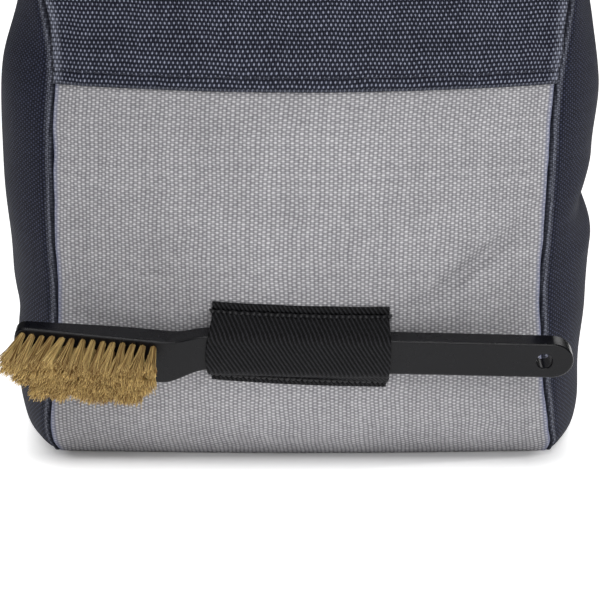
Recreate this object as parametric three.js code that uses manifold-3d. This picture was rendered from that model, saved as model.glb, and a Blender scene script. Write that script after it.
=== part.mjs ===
// A climbing chalk bag that stands by itself, with a brush held in an elastic sleeve on its front.
// Millimetres, +Z up. The origin is the middle of the base's underside, and the front faces -Y.

import * as THREE from 'three';
import { mergeVertices } from 'three/addons/utils/BufferGeometryUtils.js';
import Module from 'manifold-3d';

// Bag
const bagHeight = 222;
const bodyWidth = 218; // over the side panels
const bodyDepth = 149; // over the front and back panels
const frontWidth = 181; // between the two front seams at the mouth
const backWidth = 181; // between the two back seams at the mouth
const wall = 2.2;
const seamGap = 0.3; // between pieces that touch
const hemHeight = 16; // turned hem round the mouth
const hemThickness = 0.8;

// Lap of the upper front panel over the lower one
const lapHeight = 134.5; // lower edge of the lap above the base
const lapOverlap = 9;
const lapThickness = 1;
const lapFade = 12; // height over which the lap's swell dies out

// Brush
const brushHeight = 47.9; // middle of the handle above the base, at the sleeve
const brushTilt = -1.5; // degrees, the round end hangs lower
const tipReach = 92; // from the middle of the sleeve to the handle's round end
const handleWidth = 12.8;
const handleThickness = 7.4;
const handleRounding = 1.2;
const tipRound = 7.6; // length of the rounded end
const holeDiameter = 5.4;
const holeFromTip = 9.8;
const neckLength = 16;
const headLength = 50;
const headWidth = 15.8;
const headThickness = 8.4;
const headPadInset = 0.4; // of the thicker back of the head from its face
const headPadRounding = 0.8;
const headCorner = 4;
const headDrop = 3.9; // how far the head's root lies below the handle's middle line
const headRise = 5; // degrees by which the head climbs towards its end
const bristleLength = 16.2; // from the head's face
const bristleRows = 4;
const tuftsPerRow = 14;
const tuftRootDiameter = 1.7;
const tuftTipDiameter = 2.9;
const tuftMargin = 2.6; // from the head's upper edge and free end to the middle of a tuft
const lowTuftMargin = 3.4; // from the head's lower edge to the lowest row
const tuftStart = 3.4; // from the head's root to the first tuft
const lowRowInset = 4.5; // how much the lowest row is shorter at either end
const bristleDroop = 11; // degrees below square to the head
const bristleSplay = 19; // degrees of lean at the head's free end
const bristleBacking = 0.8;

// Elastic sleeve
const sleeveWidth = 59.8;
const sleeveHeight = 29.4; // measured along the panel
const sleeveFlange = 3.4; // stitched strip above and below the loop
const elasticThickness = 1.4;
const sleeveClearance = 0.3; // round the handle

// Mesh fineness
const levelStep = 11; // highest row of faces on a wall
const panelSteps = 20;
const sideSteps = 12;
const sleeveSteps = 8;
const tuftSides = 5;

// Sections of the bag from the base to the mouth.
// rise is a share of bagHeight, side of half of bodyWidth, frontSeam of half of frontWidth and
// backSeam of half of backWidth. front, frontCorner, back and backCorner are shares of bodyDepth.
const sections = [
  { rise: 0.0, side: 0.908, frontSeam: 0.955, backSeam: 0.955, front: 0.302, frontCorner: 0.285, back: 0.302, backCorner: 0.285 },
  { rise: 0.02, side: 0.934, frontSeam: 0.978, backSeam: 0.975, front: 0.341, frontCorner: 0.304, back: 0.33, backCorner: 0.3 },
  { rise: 0.045, side: 0.947, frontSeam: 0.983, backSeam: 0.98, front: 0.378, frontCorner: 0.322, back: 0.358, backCorner: 0.316 },
  { rise: 0.09, side: 0.957, frontSeam: 0.974, backSeam: 0.972, front: 0.427, frontCorner: 0.348, back: 0.388, backCorner: 0.336 },
  { rise: 0.14, side: 0.961, frontSeam: 0.956, backSeam: 0.956, front: 0.463, frontCorner: 0.368, back: 0.41, backCorner: 0.35 },
  { rise: 0.21, side: 0.963, frontSeam: 0.934, backSeam: 0.94, front: 0.495, frontCorner: 0.382, back: 0.432, backCorner: 0.362 },
  { rise: 0.29, side: 0.968, frontSeam: 0.926, backSeam: 0.93, front: 0.517, frontCorner: 0.39, back: 0.448, backCorner: 0.37 },
  { rise: 0.37, side: 0.979, frontSeam: 0.932, backSeam: 0.928, front: 0.53, frontCorner: 0.396, back: 0.458, backCorner: 0.375 },
  { rise: 0.46, side: 0.99, frontSeam: 0.929, backSeam: 0.928, front: 0.537, frontCorner: 0.398, back: 0.463, backCorner: 0.377 },
  { rise: 0.54, side: 0.993, frontSeam: 0.927, backSeam: 0.932, front: 0.534, frontCorner: 0.394, back: 0.46, backCorner: 0.373 },
  { rise: 0.61, side: 0.982, frontSeam: 0.932, backSeam: 0.938, front: 0.519, frontCorner: 0.383, back: 0.448, backCorner: 0.362 },
  { rise: 0.68, side: 0.956, frontSeam: 0.952, backSeam: 0.955, front: 0.487, frontCorner: 0.362, back: 0.426, backCorner: 0.344 },
  { rise: 0.75, side: 0.93, frontSeam: 0.976, backSeam: 0.976, front: 0.444, frontCorner: 0.334, back: 0.398, backCorner: 0.32 },
  { rise: 0.82, side: 0.914, frontSeam: 0.992, backSeam: 0.992, front: 0.408, frontCorner: 0.306, back: 0.372, backCorner: 0.296 },
  { rise: 0.91, side: 0.907, frontSeam: 1.0, backSeam: 1.0, front: 0.38, frontCorner: 0.284, back: 0.352, backCorner: 0.278 },
  { rise: 1.0, side: 0.906, frontSeam: 1.0, backSeam: 1.0, front: 0.366, frontCorner: 0.274, back: 0.342, backCorner: 0.268 },
];

// Soft dents pressed into a panel. across is the place from the panel's first seam to its second,
// rise and breadth are shares of bagHeight, span is a share of the panel and depth of bodyWidth.
// slant is how far the dent climbs, as a share of bagHeight, over the whole panel.
const dents = [
  { panel: 'right', across: 0.42, rise: 0.395, slant: 0.1, span: 0.42, breadth: 0.075, depth: 0.021 },
  { panel: 'right', across: 0.45, rise: 0.47, slant: 0, span: 0.5, breadth: 0.12, depth: 0.014 },
  { panel: 'right', across: 0.5, rise: 0.12, slant: -0.04, span: 0.5, breadth: 0.1, depth: 0.009 },
  { panel: 'left', across: 0.5, rise: 0.76, slant: 0, span: 0.5, breadth: 0.14, depth: 0.012 },
  { panel: 'left', across: 0.5, rise: 0.2, slant: 0.08, span: 0.4, breadth: 0.07, depth: 0.007 },
  { panel: 'front', across: 0.88, rise: 0.335, slant: 0.5, span: 0.16, breadth: 0.04, depth: 0.009 },
  { panel: 'back', across: 0.35, rise: 0.36, slant: -0.12, span: 0.35, breadth: 0.08, depth: 0.014 },
];

// Places where a seam is drawn towards the bag's middle, or away from it with a negative pull.
// rise and breadth are shares of bagHeight, pull is a share of frontWidth.
const seamPulls = [
  { seam: 'frontRight', rise: 0.33, breadth: 0.22, pull: 0.018 },
  { seam: 'frontRight', rise: 0.12, breadth: 0.11, pull: 0.014 },
  { seam: 'frontRight', rise: 0.0, breadth: 0.05, pull: -0.012 },
  { seam: 'frontRight', rise: 0.76, breadth: 0.24, pull: -0.014 },
  { seam: 'frontLeft', rise: 0.66, breadth: 0.13, pull: 0.012 },
];

const degrees = THREE.MathUtils.degToRad;

// A value of the section table at a height, on a smooth curve through its rows.
function sectionValue(column, height) {
  const share = THREE.MathUtils.clamp(height / bagHeight, 0, 1);
  const last = sections.length - 1;
  let row = 0;
  while (row < last - 1 && sections[row + 1].rise < share) row += 1;
  const slopeAt = (index) => {
    const before = sections[Math.max(index - 1, 0)];
    const after = sections[Math.min(index + 1, last)];
    return (after[column] - before[column]) / (after.rise - before.rise);
  };
  const low = sections[row];
  const high = sections[row + 1];
  const span = high.rise - low.rise;
  const t = (share - low.rise) / span;
  const rest = 1 - t;
  return (
    (1 + 2 * t) * rest * rest * low[column] +
    t * rest * rest * span * slopeAt(row) +
    t * t * (3 - 2 * t) * high[column] -
    t * t * rest * span * slopeAt(row + 1)
  );
}

// A round-topped bump that is 1 at zero and 0 from one breadth away.
function bump(distance, breadth) {
  const share = Math.min(Math.abs(distance) / breadth, 1);
  return (1 + Math.cos(Math.PI * share)) / 2;
}

// The four seams at a height, counter-clockwise from the front left.
function seamCorners(height) {
  const front = (sectionValue('frontSeam', height) * frontWidth) / 2;
  const back = (sectionValue('backSeam', height) * backWidth) / 2;
  const frontDepth = sectionValue('frontCorner', height) * bodyDepth;
  const backDepth = sectionValue('backCorner', height) * bodyDepth;
  const corners = {
    frontLeft: new THREE.Vector2(-front, -frontDepth),
    frontRight: new THREE.Vector2(front, -frontDepth),
    backRight: new THREE.Vector2(back, backDepth),
    backLeft: new THREE.Vector2(-back, backDepth),
  };
  for (const row of seamPulls) {
    const share = bump(height - row.rise * bagHeight, row.breadth * bagHeight) * row.pull;
    const corner = corners[row.seam];
    corner.x -= Math.sign(corner.x) * share * frontWidth;
  }
  return corners;
}

const panels = {
  front: { from: 'frontLeft', to: 'frontRight', before: 'left', after: 'right', column: 'front', size: bodyDepth },
  right: { from: 'frontRight', to: 'backRight', before: 'front', after: 'back', column: 'side', size: bodyWidth / 2 },
  back: { from: 'backRight', to: 'backLeft', before: 'right', after: 'left', column: 'back', size: bodyDepth },
  left: { from: 'backLeft', to: 'frontLeft', before: 'back', after: 'front', column: 'side', size: bodyWidth / 2 },
};

// The arc of a panel at a height: its ends, its middle normal, half its chord and its swell.
function panelArc(name, height) {
  const panel = panels[name];
  const corners = seamCorners(height);
  const from = corners[panel.from];
  const to = corners[panel.to];
  const chord = to.clone().sub(from);
  const normal = new THREE.Vector2(chord.y, -chord.x).normalize();
  const middle = from.clone().add(to).multiplyScalar(0.5);
  const reach = sectionValue(panel.column, height) * panel.size;
  const swell = reach - middle.dot(normal);
  return { middle, normal, along: chord.clone().normalize(), half: chord.length() / 2, swell };
}

// A point of an arc, from -1 at its first end to 1 at its second.
function arcPoint(arc, place) {
  const radius = (arc.half ** 2 + arc.swell ** 2) / (2 * arc.swell);
  const angle = place * Math.asin(Math.min(arc.half / radius, 1));
  const outward = radius * Math.cos(angle) - (radius - arc.swell);
  return arc.middle
    .clone()
    .addScaledVector(arc.along, radius * Math.sin(angle))
    .addScaledVector(arc.normal, outward);
}

// The outward normal at the end of an arc: -1 for its first end, 1 for its second.
function endNormal(arc, end) {
  const radius = (arc.half ** 2 + arc.swell ** 2) / (2 * arc.swell);
  const angle = end * Math.asin(Math.min(arc.half / radius, 1));
  return arc.normal
    .clone()
    .multiplyScalar(Math.cos(angle))
    .addScaledVector(arc.along, Math.sin(angle));
}

// How far the dents push a panel in at a place from 0 to 1 across it.
function dentDepth(name, across, height) {
  let depth = 0;
  for (const row of dents) {
    if (row.panel !== name) continue;
    const centre = (row.rise + (across - row.across) * row.slant) * bagHeight;
    const along = bump(across - row.across, row.span);
    depth += along * bump(height - centre, row.breadth * bagHeight) * row.depth * bodyWidth;
  }
  return depth * Math.sin(Math.PI * THREE.MathUtils.clamp(across, 0, 1)) ** 0.5;
}

// A point of a panel, offset outwards from the bag's outer surface. Panels meet on the line that
// halves the angle of their seam, and each ends half a gap short of it.
function panelPoint(name, across, height, offset) {
  const panel = panels[name];
  const arc = panelArc(name, height);
  const ends = [
    { point: arcPoint(arc, -1), mine: endNormal(arc, -1), other: endNormal(panelArc(panel.before, height), 1) },
    { point: arcPoint(arc, 1), mine: endNormal(arc, 1), other: endNormal(panelArc(panel.after, height), -1) },
  ];
  const [from, to] = ends.map(({ point, mine, other }) => {
    return point.addScaledVector(mitreOf(mine, other), offset);
  });
  const along = to.clone().sub(from).normalize();
  from.addScaledVector(along, seamGap / 2);
  to.addScaledVector(along, -seamGap / 2);
  const middle = from.clone().add(to).multiplyScalar(0.5);
  const normal = new THREE.Vector2(along.y, -along.x);
  const crown = arc.middle.clone().addScaledVector(arc.normal, arc.swell + offset);
  const moved = {
    middle,
    normal,
    along,
    half: from.distanceTo(to) / 2,
    swell: crown.sub(middle).dot(normal),
  };
  const point = arcPoint(moved, 2 * across - 1).addScaledVector(normal, -dentDepth(name, across, height));
  return new THREE.Vector3(point.x, point.y, height);
}

function geometryOf(points, triangles) {
  const geometry = new THREE.BufferGeometry();
  geometry.setAttribute('position', new THREE.Float32BufferAttribute(points.flatMap((p) => [p.x, p.y, p.z]), 3));
  geometry.setIndex(triangles);
  return geometry;
}

// Triangles between two chains of points that run side by side, as [chain, index] corners.
function ladder(first, second) {
  const rungs = [];
  let a = 0;
  let b = 0;
  while (a < first.length - 1 || b < second.length - 1) {
    const firstIsNext = b === second.length - 1 || (a < first.length - 1 && first[a + 1].order <= second[b + 1].order);
    if (firstIsNext) {
      rungs.push([[0, a], [0, a + 1], [1, b]]);
      a += 1;
    } else {
      rungs.push([[0, a], [1, b + 1], [1, b]]);
      b += 1;
    }
  }
  return rungs;
}

// Sweeps a thin profile through steps and caps both ends. outer and inner are the profile's two
// sides from the same end, and order says how far along a point lies.
function sweep(outer, inner, place, steps) {
  const profile = [...outer, ...inner.slice().reverse()];
  const count = profile.length;
  const points = [];
  const triangles = [];
  for (let step = 0; step <= steps; step += 1) {
    for (const corner of profile) points.push(place(corner, step / steps));
  }
  for (let step = 0; step < steps; step += 1) {
    for (let index = 0; index < count; index += 1) {
      const next = (index + 1) % count;
      const a = step * count + index;
      const b = step * count + next;
      triangles.push(a, a + count, b, b, a + count, b + count);
    }
  }
  const end = steps * count;
  for (const rung of ladder(outer, inner)) {
    const [a, b, c] = rung.map(([chain, index]) => (chain === 0 ? index : count - 1 - index));
    triangles.push(a, b, c, end + a, end + c, end + b);
  }
  return geometryOf(points, triangles);
}

// A wall panel of the bag. outer and inner list offset and height from the bottom up.
function wallPanel(name, outer, inner, steps) {
  const ordered = (rows) => rows.map((row) => ({ ...row, order: row.height }));
  const place = (row, share) => panelPoint(name, share, row.height, row.offset);
  return sweep(ordered(outer), ordered(inner), place, steps);
}

// Heights from low to high: every section between them, and no step over levelStep.
function levels(low, high) {
  const marks = [low, ...sections.map((row) => row.rise * bagHeight).filter((h) => h > low + 1 && h < high - 1), high];
  const heights = [low];
  for (let index = 1; index < marks.length; index += 1) {
    const parts = Math.ceil((marks[index] - marks[index - 1]) / levelStep);
    for (let part = 1; part <= parts; part += 1) {
      heights.push(THREE.MathUtils.lerp(marks[index - 1], marks[index], part / parts));
    }
  }
  return heights;
}

// The outside of a wall that ends in the turned hem at the mouth.
function outsideWithHem(from, offsetAt) {
  const hemFoot = bagHeight - hemHeight;
  return [
    ...levels(from, hemFoot - hemThickness).map((height) => ({ height, offset: offsetAt(height) })),
    { height: hemFoot, offset: hemThickness },
    { height: bagHeight, offset: hemThickness },
  ];
}

function insideTo(from, top) {
  return levels(from, top).map((height) => ({ height, offset: -wall }));
}

const wallFoot = wall + seamGap;
const lowerFrontTop = lapHeight + lapOverlap;

function lowerFrontPanel() {
  const outer = levels(wallFoot, lowerFrontTop).map((height) => ({ height, offset: 0 }));
  return wallPanel('front', outer, insideTo(wallFoot, lowerFrontTop), panelSteps);
}

// The upper panel stands proud of the lower one where it laps over it, and settles above.
function upperFrontPanel() {
  const proud = seamGap + lapThickness;
  const fade = (height) => THREE.MathUtils.smoothstep(height, lowerFrontTop, lowerFrontTop + lapFade);
  const outer = [
    { height: lapHeight, offset: proud },
    ...outsideWithHem(lowerFrontTop, (height) => proud * (1 - fade(height))),
  ];
  const inner = [
    { height: lapHeight, offset: seamGap },
    { height: lowerFrontTop + seamGap, offset: seamGap },
    ...insideTo(lowerFrontTop + seamGap, bagHeight),
  ];
  return wallPanel('front', outer, inner, panelSteps);
}

function plainPanel(name, steps) {
  return wallPanel(name, outsideWithHem(wallFoot, () => 0), insideTo(wallFoot, bagHeight), steps);
}

// The base is a plate whose slanting edge carries the walls on.
function basePanel() {
  const points = [];
  const triangles = [];
  const steps = { front: panelSteps, right: sideSteps, back: panelSteps, left: sideSteps };
  for (const height of [0, wall]) {
    for (const name of Object.keys(panels)) {
      const arc = panelArc(name, height);
      for (let step = 0; step < steps[name]; step += 1) {
        const point = arcPoint(arc, (2 * step) / steps[name] - 1);
        points.push(new THREE.Vector3(point.x, point.y, height));
      }
    }
  }
  const count = points.length / 2;
  for (let index = 0; index < count; index += 1) {
    const next = (index + 1) % count;
    triangles.push(index, next, index + count, next, next + count, index + count);
  }
  const outline = points.slice(0, count).map((point) => new THREE.Vector2(point.x, point.y));
  for (const [a, b, c] of THREE.ShapeUtils.triangulateShape(outline, [])) {
    triangles.push(a, c, b, a + count, b + count, c + count);
  }
  return geometryOf(points, triangles);
}

// The point of the front's outer surface at a place given by x and height.
function frontPoint(x, height) {
  let low = 0;
  let high = 1;
  for (let pass = 0; pass < 24; pass += 1) {
    const middle = (low + high) / 2;
    if (panelPoint('front', middle, height, 0).x < x) low = middle;
    else high = middle;
  }
  return panelPoint('front', (low + high) / 2, height, 0);
}

// The brush lies flat against the panel's slope. In its frame X runs along the handle to the
// round end, Y across it upwards and Z out of its face.
const slopeReach = 2;
const rollRise = frontPoint(0, brushHeight - slopeReach).y - frontPoint(0, brushHeight + slopeReach).y;
const brushRoll = Math.atan2(rollRise, 2 * slopeReach);
const brushLift = seamGap + handleThickness / 2;
const brush = new THREE.Group();
brush.position.set(
  0,
  frontPoint(0, brushHeight).y - brushLift * Math.cos(brushRoll),
  brushHeight - brushLift * Math.sin(brushRoll),
);
brush.rotation.set(Math.PI / 2 + brushRoll, 0, degrees(brushTilt));
brush.updateMatrixWorld(true);

const neckStart = -(sleeveWidth / 2 + sleeveClearance);
const headRoot = new THREE.Vector2(neckStart - neckLength, -headDrop);

// A point of the head in the brush's frame, from its root towards its free end and across.
function headPoint(along, across) {
  return new THREE.Vector2(along, across).rotateAround(new THREE.Vector2(), Math.PI - degrees(headRise)).add(headRoot);
}

function lineTo(shape, point) {
  shape.lineTo(point.x, point.y);
}

function curveTo(shape, corner, end) {
  shape.quadraticCurveTo(corner.x, corner.y, end.x, end.y);
}

// Continues a shape round the head's free end, from its upper root corner to its lower one.
function goRoundHead(shape, inset) {
  const half = headWidth / 2 - inset;
  const end = headLength - inset;
  lineTo(shape, headPoint(end - headCorner, -half));
  curveTo(shape, headPoint(end, -half), headPoint(end, headCorner - half));
  lineTo(shape, headPoint(end, half - headCorner));
  curveTo(shape, headPoint(end, half), headPoint(end - headCorner, half));
  lineTo(shape, headPoint(inset, half));
}

function handleShape() {
  const half = handleWidth / 2;
  const upperRoot = headPoint(0, -headWidth / 2);
  const lowerRoot = headPoint(0, headWidth / 2);
  const ease = neckLength * 0.4;
  const shape = new THREE.Shape();
  shape.moveTo(neckStart, -half);
  shape.lineTo(tipReach - tipRound, -half);
  shape.absellipse(tipReach - tipRound, 0, tipRound, half, -Math.PI / 2, Math.PI / 2, false, 0);
  shape.lineTo(neckStart, half);
  shape.bezierCurveTo(neckStart - ease, half, upperRoot.x + ease, upperRoot.y, upperRoot.x, upperRoot.y);
  goRoundHead(shape, 0);
  shape.bezierCurveTo(lowerRoot.x + ease, lowerRoot.y, neckStart - ease, -half, neckStart, -half);
  const hole = new THREE.Path();
  hole.absarc(tipReach - holeFromTip, 0, holeDiameter / 2, 0, 2 * Math.PI, true);
  shape.holes.push(hole);
  return shape;
}

function headShape(inset) {
  const start = headPoint(inset, inset - headWidth / 2);
  const shape = new THREE.Shape();
  shape.moveTo(start.x, start.y);
  goRoundHead(shape, inset);
  return shape;
}

// A plate between two heights in the brush's frame, with its edges rounded by rounding.
function plate(shape, bottom, top, rounding) {
  const geometry = new THREE.ExtrudeGeometry(shape, {
    depth: top - bottom - 2 * rounding,
    bevelEnabled: rounding > 0,
    bevelThickness: rounding,
    bevelSize: rounding,
    bevelOffset: -rounding,
    bevelSegments: 2,
    curveSegments: 6,
  });
  return geometry.translate(0, 0, bottom + rounding);
}

const wasm = await Module();
wasm.setup();

function solidOf(geometry) {
  const bare = geometry.clone();
  bare.deleteAttribute('normal');
  bare.deleteAttribute('uv');
  const merged = mergeVertices(bare, 1e-4);
  return new wasm.Manifold(
    new wasm.Mesh({
      numProp: 3,
      vertProperties: new Float32Array(merged.attributes.position.array),
      triVerts: new Uint32Array(merged.index.array),
    }),
  );
}

function joined(geometries) {
  const mesh = geometries.map(solidOf).reduce((whole, solid) => whole.add(solid)).getMesh();
  const geometry = new THREE.BufferGeometry();
  geometry.setAttribute('position', new THREE.BufferAttribute(new Float32Array(mesh.vertProperties), 3));
  geometry.setIndex(new THREE.BufferAttribute(new Uint32Array(mesh.triVerts), 1));
  return geometry;
}

// The head is thicker than the handle, towards the bag.
function brushHandle() {
  const face = handleThickness / 2;
  const bar = plate(handleShape(), -face, face, handleRounding);
  const pad = plate(headShape(headPadInset), face - headThickness, 0, headPadRounding);
  return joined([bar, pad]);
}

// One tuft, a little wider at its tip, in the brush's frame.
function tuft(along, across) {
  const foot = headPoint(along, across);
  const root = new THREE.Vector3(foot.x, foot.y, handleThickness / 2 + seamGap + bristleBacking / 2);
  const splay = degrees(bristleSplay) * (along / headLength);
  const droop = degrees(bristleDroop);
  const way = new THREE.Vector3(-Math.sin(splay), -Math.sin(droop), Math.cos(splay) * Math.cos(droop)).normalize();
  const length = bristleLength - seamGap - bristleBacking / 2;
  const geometry = new THREE.CylinderGeometry(tuftTipDiameter / 2, tuftRootDiameter / 2, length, tuftSides);
  geometry.translate(0, length / 2, 0);
  geometry.applyQuaternion(new THREE.Quaternion().setFromUnitVectors(new THREE.Vector3(0, 1, 0), way));
  return geometry.translate(root.x, root.y, root.z);
}

function brushBristles() {
  const seat = handleThickness / 2 + seamGap;
  const pieces = [plate(headShape(handleRounding), seat, seat + bristleBacking, 0)];
  const highest = tuftMargin - headWidth / 2;
  const lowest = headWidth / 2 - lowTuftMargin;
  for (let row = 0; row < bristleRows; row += 1) {
    const across = THREE.MathUtils.lerp(highest, lowest, row / (bristleRows - 1));
    const inset = lowRowInset * (row / (bristleRows - 1)) ** 2;
    const first = tuftStart + inset;
    const last = headLength - tuftMargin - inset;
    for (let place = 0; place < tuftsPerRow; place += 1) {
      const along = THREE.MathUtils.lerp(first, last, place / (tuftsPerRow - 1));
      pieces.push(tuft(along, across));
    }
  }
  return joined(pieces);
}

// How far out of the handle's middle plane the panel's surface stands, in the brush's frame.
function panelRise(along, across) {
  let out = -brushLift;
  for (let pass = 0; pass < 6; pass += 1) {
    const point = new THREE.Vector3(along, across, out).applyMatrix4(brush.matrixWorld);
    out += (point.y - frontPoint(point.x, point.z).y) / Math.cos(brushRoll);
  }
  return out;
}

// The mitred direction between two unit normals, long enough to keep the distance to both.
function mitreOf(first, second) {
  return first.clone().add(second).divideScalar(1 + first.dot(second));
}

// The elastic in section, from its lower edge to its upper one: flat strips on the panel and a
// loop over the handle between them.
function sleevePath() {
  const edge = sleeveHeight / 2;
  const stitch = edge - sleeveFlange;
  const seat = (across) => new THREE.Vector2(across, panelRise(0, across) + seamGap);
  const side = handleWidth / 2 + sleeveClearance;
  const shoulder = handleThickness / 2 - handleRounding;
  const crest = handleThickness / 2 + sleeveClearance;
  const bend = (handleRounding + sleeveClearance) * Math.SQRT1_2;
  const bendAcross = handleWidth / 2 - handleRounding + bend;
  return [
    seat(-edge),
    seat(-stitch),
    new THREE.Vector2(-side, shoulder),
    new THREE.Vector2(-bendAcross, shoulder + bend),
    new THREE.Vector2(handleRounding - side, crest),
    new THREE.Vector2(0, crest + sleeveClearance),
    new THREE.Vector2(side - handleRounding, crest),
    new THREE.Vector2(bendAcross, shoulder + bend),
    new THREE.Vector2(side, shoulder),
    seat(stitch),
    seat(edge),
  ];
}

function brushSleeve() {
  const path = sleevePath();
  const normals = path.slice(1).map((point, index) => {
    const way = point.clone().sub(path[index]).normalize();
    return new THREE.Vector2(-way.y, way.x);
  });
  const outside = path.map((point, index) => {
    const before = normals[Math.max(index - 1, 0)];
    const after = normals[Math.min(index, normals.length - 1)];
    return point.clone().addScaledVector(mitreOf(before, after), elasticThickness);
  });
  const isSeated = (index) => index < 2 || index > path.length - 3;
  const ordered = (points) =>
    points.map((point, index) => ({ across: point.x, out: point.y, seated: isSeated(index), order: index }));
  const place = (corner, share) => {
    const along = (share - 0.5) * sleeveWidth;
    const sink = corner.seated ? panelRise(along, corner.across) - panelRise(0, corner.across) : 0;
    return new THREE.Vector3(along, corner.across, corner.out + sink).applyMatrix4(brush.matrixWorld);
  };
  return sweep(ordered(outside), ordered(path), place, sleeveSteps);
}

const greyFabric = { color: 0xa2a1a4, roughness: 0.9, metalness: 0 };
const navyFabric = { color: 0x40434f, roughness: 0.85, metalness: 0 };
const blackElastic = { color: 0x202022, roughness: 0.8, metalness: 0 };
const blackPlastic = { color: 0x26262a, roughness: 0.35, metalness: 0 };
const tanBristle = { color: 0x80653f, roughness: 0.75, metalness: 0 };

function piece(name, geometry, look) {
  const mesh = new THREE.Mesh(geometry, new THREE.MeshStandardMaterial(look));
  mesh.name = name;
  return mesh;
}

const bag = new THREE.Group();
bag.add(
  piece('base_panel', basePanel(), greyFabric),
  piece('lower_front_panel', lowerFrontPanel(), greyFabric),
  piece('upper_front_panel', upperFrontPanel(), navyFabric),
  piece('right_side_panel', plainPanel('right', sideSteps), navyFabric),
  piece('back_panel', plainPanel('back', panelSteps), navyFabric),
  piece('left_side_panel', plainPanel('left', sideSteps), navyFabric),
  piece('brush_sleeve', brushSleeve(), blackElastic),
);
brush.add(
  piece('brush_handle', brushHandle(), blackPlastic),
  piece('brush_bristles', brushBristles(), tanBristle),
);
bag.add(brush);

export default bag;
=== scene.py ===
"""Looks of a climbing chalk bag with a brush in its elastic sleeve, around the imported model.

Shapes are worked out in millimetres, with +Z up and the front facing -Y, and made in metres.
"""

import math

import bmesh
import bpy
import numpy as np
from mathutils import Matrix, Vector


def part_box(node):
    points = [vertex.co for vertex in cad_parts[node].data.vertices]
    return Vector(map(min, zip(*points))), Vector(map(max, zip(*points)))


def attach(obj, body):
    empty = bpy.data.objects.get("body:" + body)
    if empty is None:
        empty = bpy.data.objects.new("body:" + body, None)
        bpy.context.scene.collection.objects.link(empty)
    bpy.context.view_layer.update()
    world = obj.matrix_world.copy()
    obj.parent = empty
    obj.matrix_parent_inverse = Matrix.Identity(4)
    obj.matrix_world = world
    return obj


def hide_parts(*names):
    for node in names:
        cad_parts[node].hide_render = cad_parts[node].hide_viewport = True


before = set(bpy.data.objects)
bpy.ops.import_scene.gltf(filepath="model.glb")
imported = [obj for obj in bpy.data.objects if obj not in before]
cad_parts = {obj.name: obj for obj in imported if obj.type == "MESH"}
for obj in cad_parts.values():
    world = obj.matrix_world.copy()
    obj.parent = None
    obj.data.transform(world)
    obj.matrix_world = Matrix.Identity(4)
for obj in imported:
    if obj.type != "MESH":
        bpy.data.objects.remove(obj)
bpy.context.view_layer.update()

MM = 0.001

# Bag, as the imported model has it
BAG_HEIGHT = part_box("back_panel")[1].z / MM
BODY_WIDTH = 218.0
BODY_DEPTH = 149.0
FRONT_WIDTH = 181.0
BACK_WIDTH = 181.0
WALL = 2.2
SEAM_GAP = 0.3
HEM_HEIGHT = 16.0
HEM_THICKNESS = 0.8
LAP_HEIGHT = 134.5
LAP_OVERLAP = 9.0
LAP_THICKNESS = 1.0
LAP_FADE = 12.0

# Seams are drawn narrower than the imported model's, so that no light comes through
SHOWN_GAP = 0.02

# Brush and sleeve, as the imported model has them, apart from the head, which is drawn thicker
BRUSH_HEIGHT = 47.9
BRUSH_TILT = -1.5
TIP_REACH = 92.0
HANDLE_WIDTH = 12.8
HANDLE_THICKNESS = 7.4
TIP_ROUND = 7.6
HOLE_DIAMETER = 5.4
HOLE_FROM_TIP = 9.8
NECK_LENGTH = 16.0
HEAD_LENGTH = 50.0
HEAD_WIDTH = 15.8
HEAD_THICKNESS = 9.1
HEAD_CORNER = 4.0
HEAD_DROP = 3.9
HEAD_RISE = 5.0
BRISTLE_LENGTH = 16.2
BRISTLE_ROWS = 4
TUFTS_PER_ROW = 14
TUFT_MARGIN = 2.6
LOW_TUFT_MARGIN = 3.4
TUFT_START = 3.4
LOW_ROW_INSET = 4.5
BRISTLE_DROOP = 11.0
BRISTLE_SPLAY = 19.0
SLEEVE_WIDTH = 59.8
SLEEVE_HEIGHT = 29.4
SLEEVE_FLANGE = 3.4
ELASTIC_THICKNESS = 1.4
SLEEVE_CLEARANCE = 0.3

# Sections of the bag from the base to the mouth, as shares of the bag's sizes
SECTION_COLUMNS = ("rise", "side", "front_seam", "back_seam", "front", "front_corner", "back", "back_corner")
SECTIONS = (
    (0.0, 0.908, 0.955, 0.955, 0.302, 0.285, 0.302, 0.285),
    (0.02, 0.934, 0.978, 0.975, 0.341, 0.304, 0.33, 0.3),
    (0.045, 0.947, 0.983, 0.98, 0.378, 0.322, 0.358, 0.316),
    (0.09, 0.957, 0.974, 0.972, 0.427, 0.348, 0.388, 0.336),
    (0.14, 0.961, 0.956, 0.956, 0.463, 0.368, 0.41, 0.35),
    (0.21, 0.963, 0.934, 0.94, 0.495, 0.382, 0.432, 0.362),
    (0.29, 0.968, 0.926, 0.93, 0.517, 0.39, 0.448, 0.37),
    (0.37, 0.979, 0.932, 0.928, 0.53, 0.396, 0.458, 0.375),
    (0.46, 0.99, 0.929, 0.928, 0.537, 0.398, 0.463, 0.377),
    (0.54, 0.993, 0.927, 0.932, 0.534, 0.394, 0.46, 0.373),
    (0.61, 0.982, 0.932, 0.938, 0.519, 0.383, 0.448, 0.362),
    (0.68, 0.956, 0.952, 0.955, 0.487, 0.362, 0.426, 0.344),
    (0.75, 0.93, 0.976, 0.976, 0.444, 0.334, 0.398, 0.32),
    (0.82, 0.914, 0.992, 0.992, 0.408, 0.306, 0.372, 0.296),
    (0.91, 0.907, 1.0, 1.0, 0.38, 0.284, 0.352, 0.278),
    (1.0, 0.906, 1.0, 1.0, 0.366, 0.274, 0.342, 0.268),
)
SECTION = {name: np.array(values) for name, values in zip(SECTION_COLUMNS, zip(*SECTIONS))}

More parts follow.
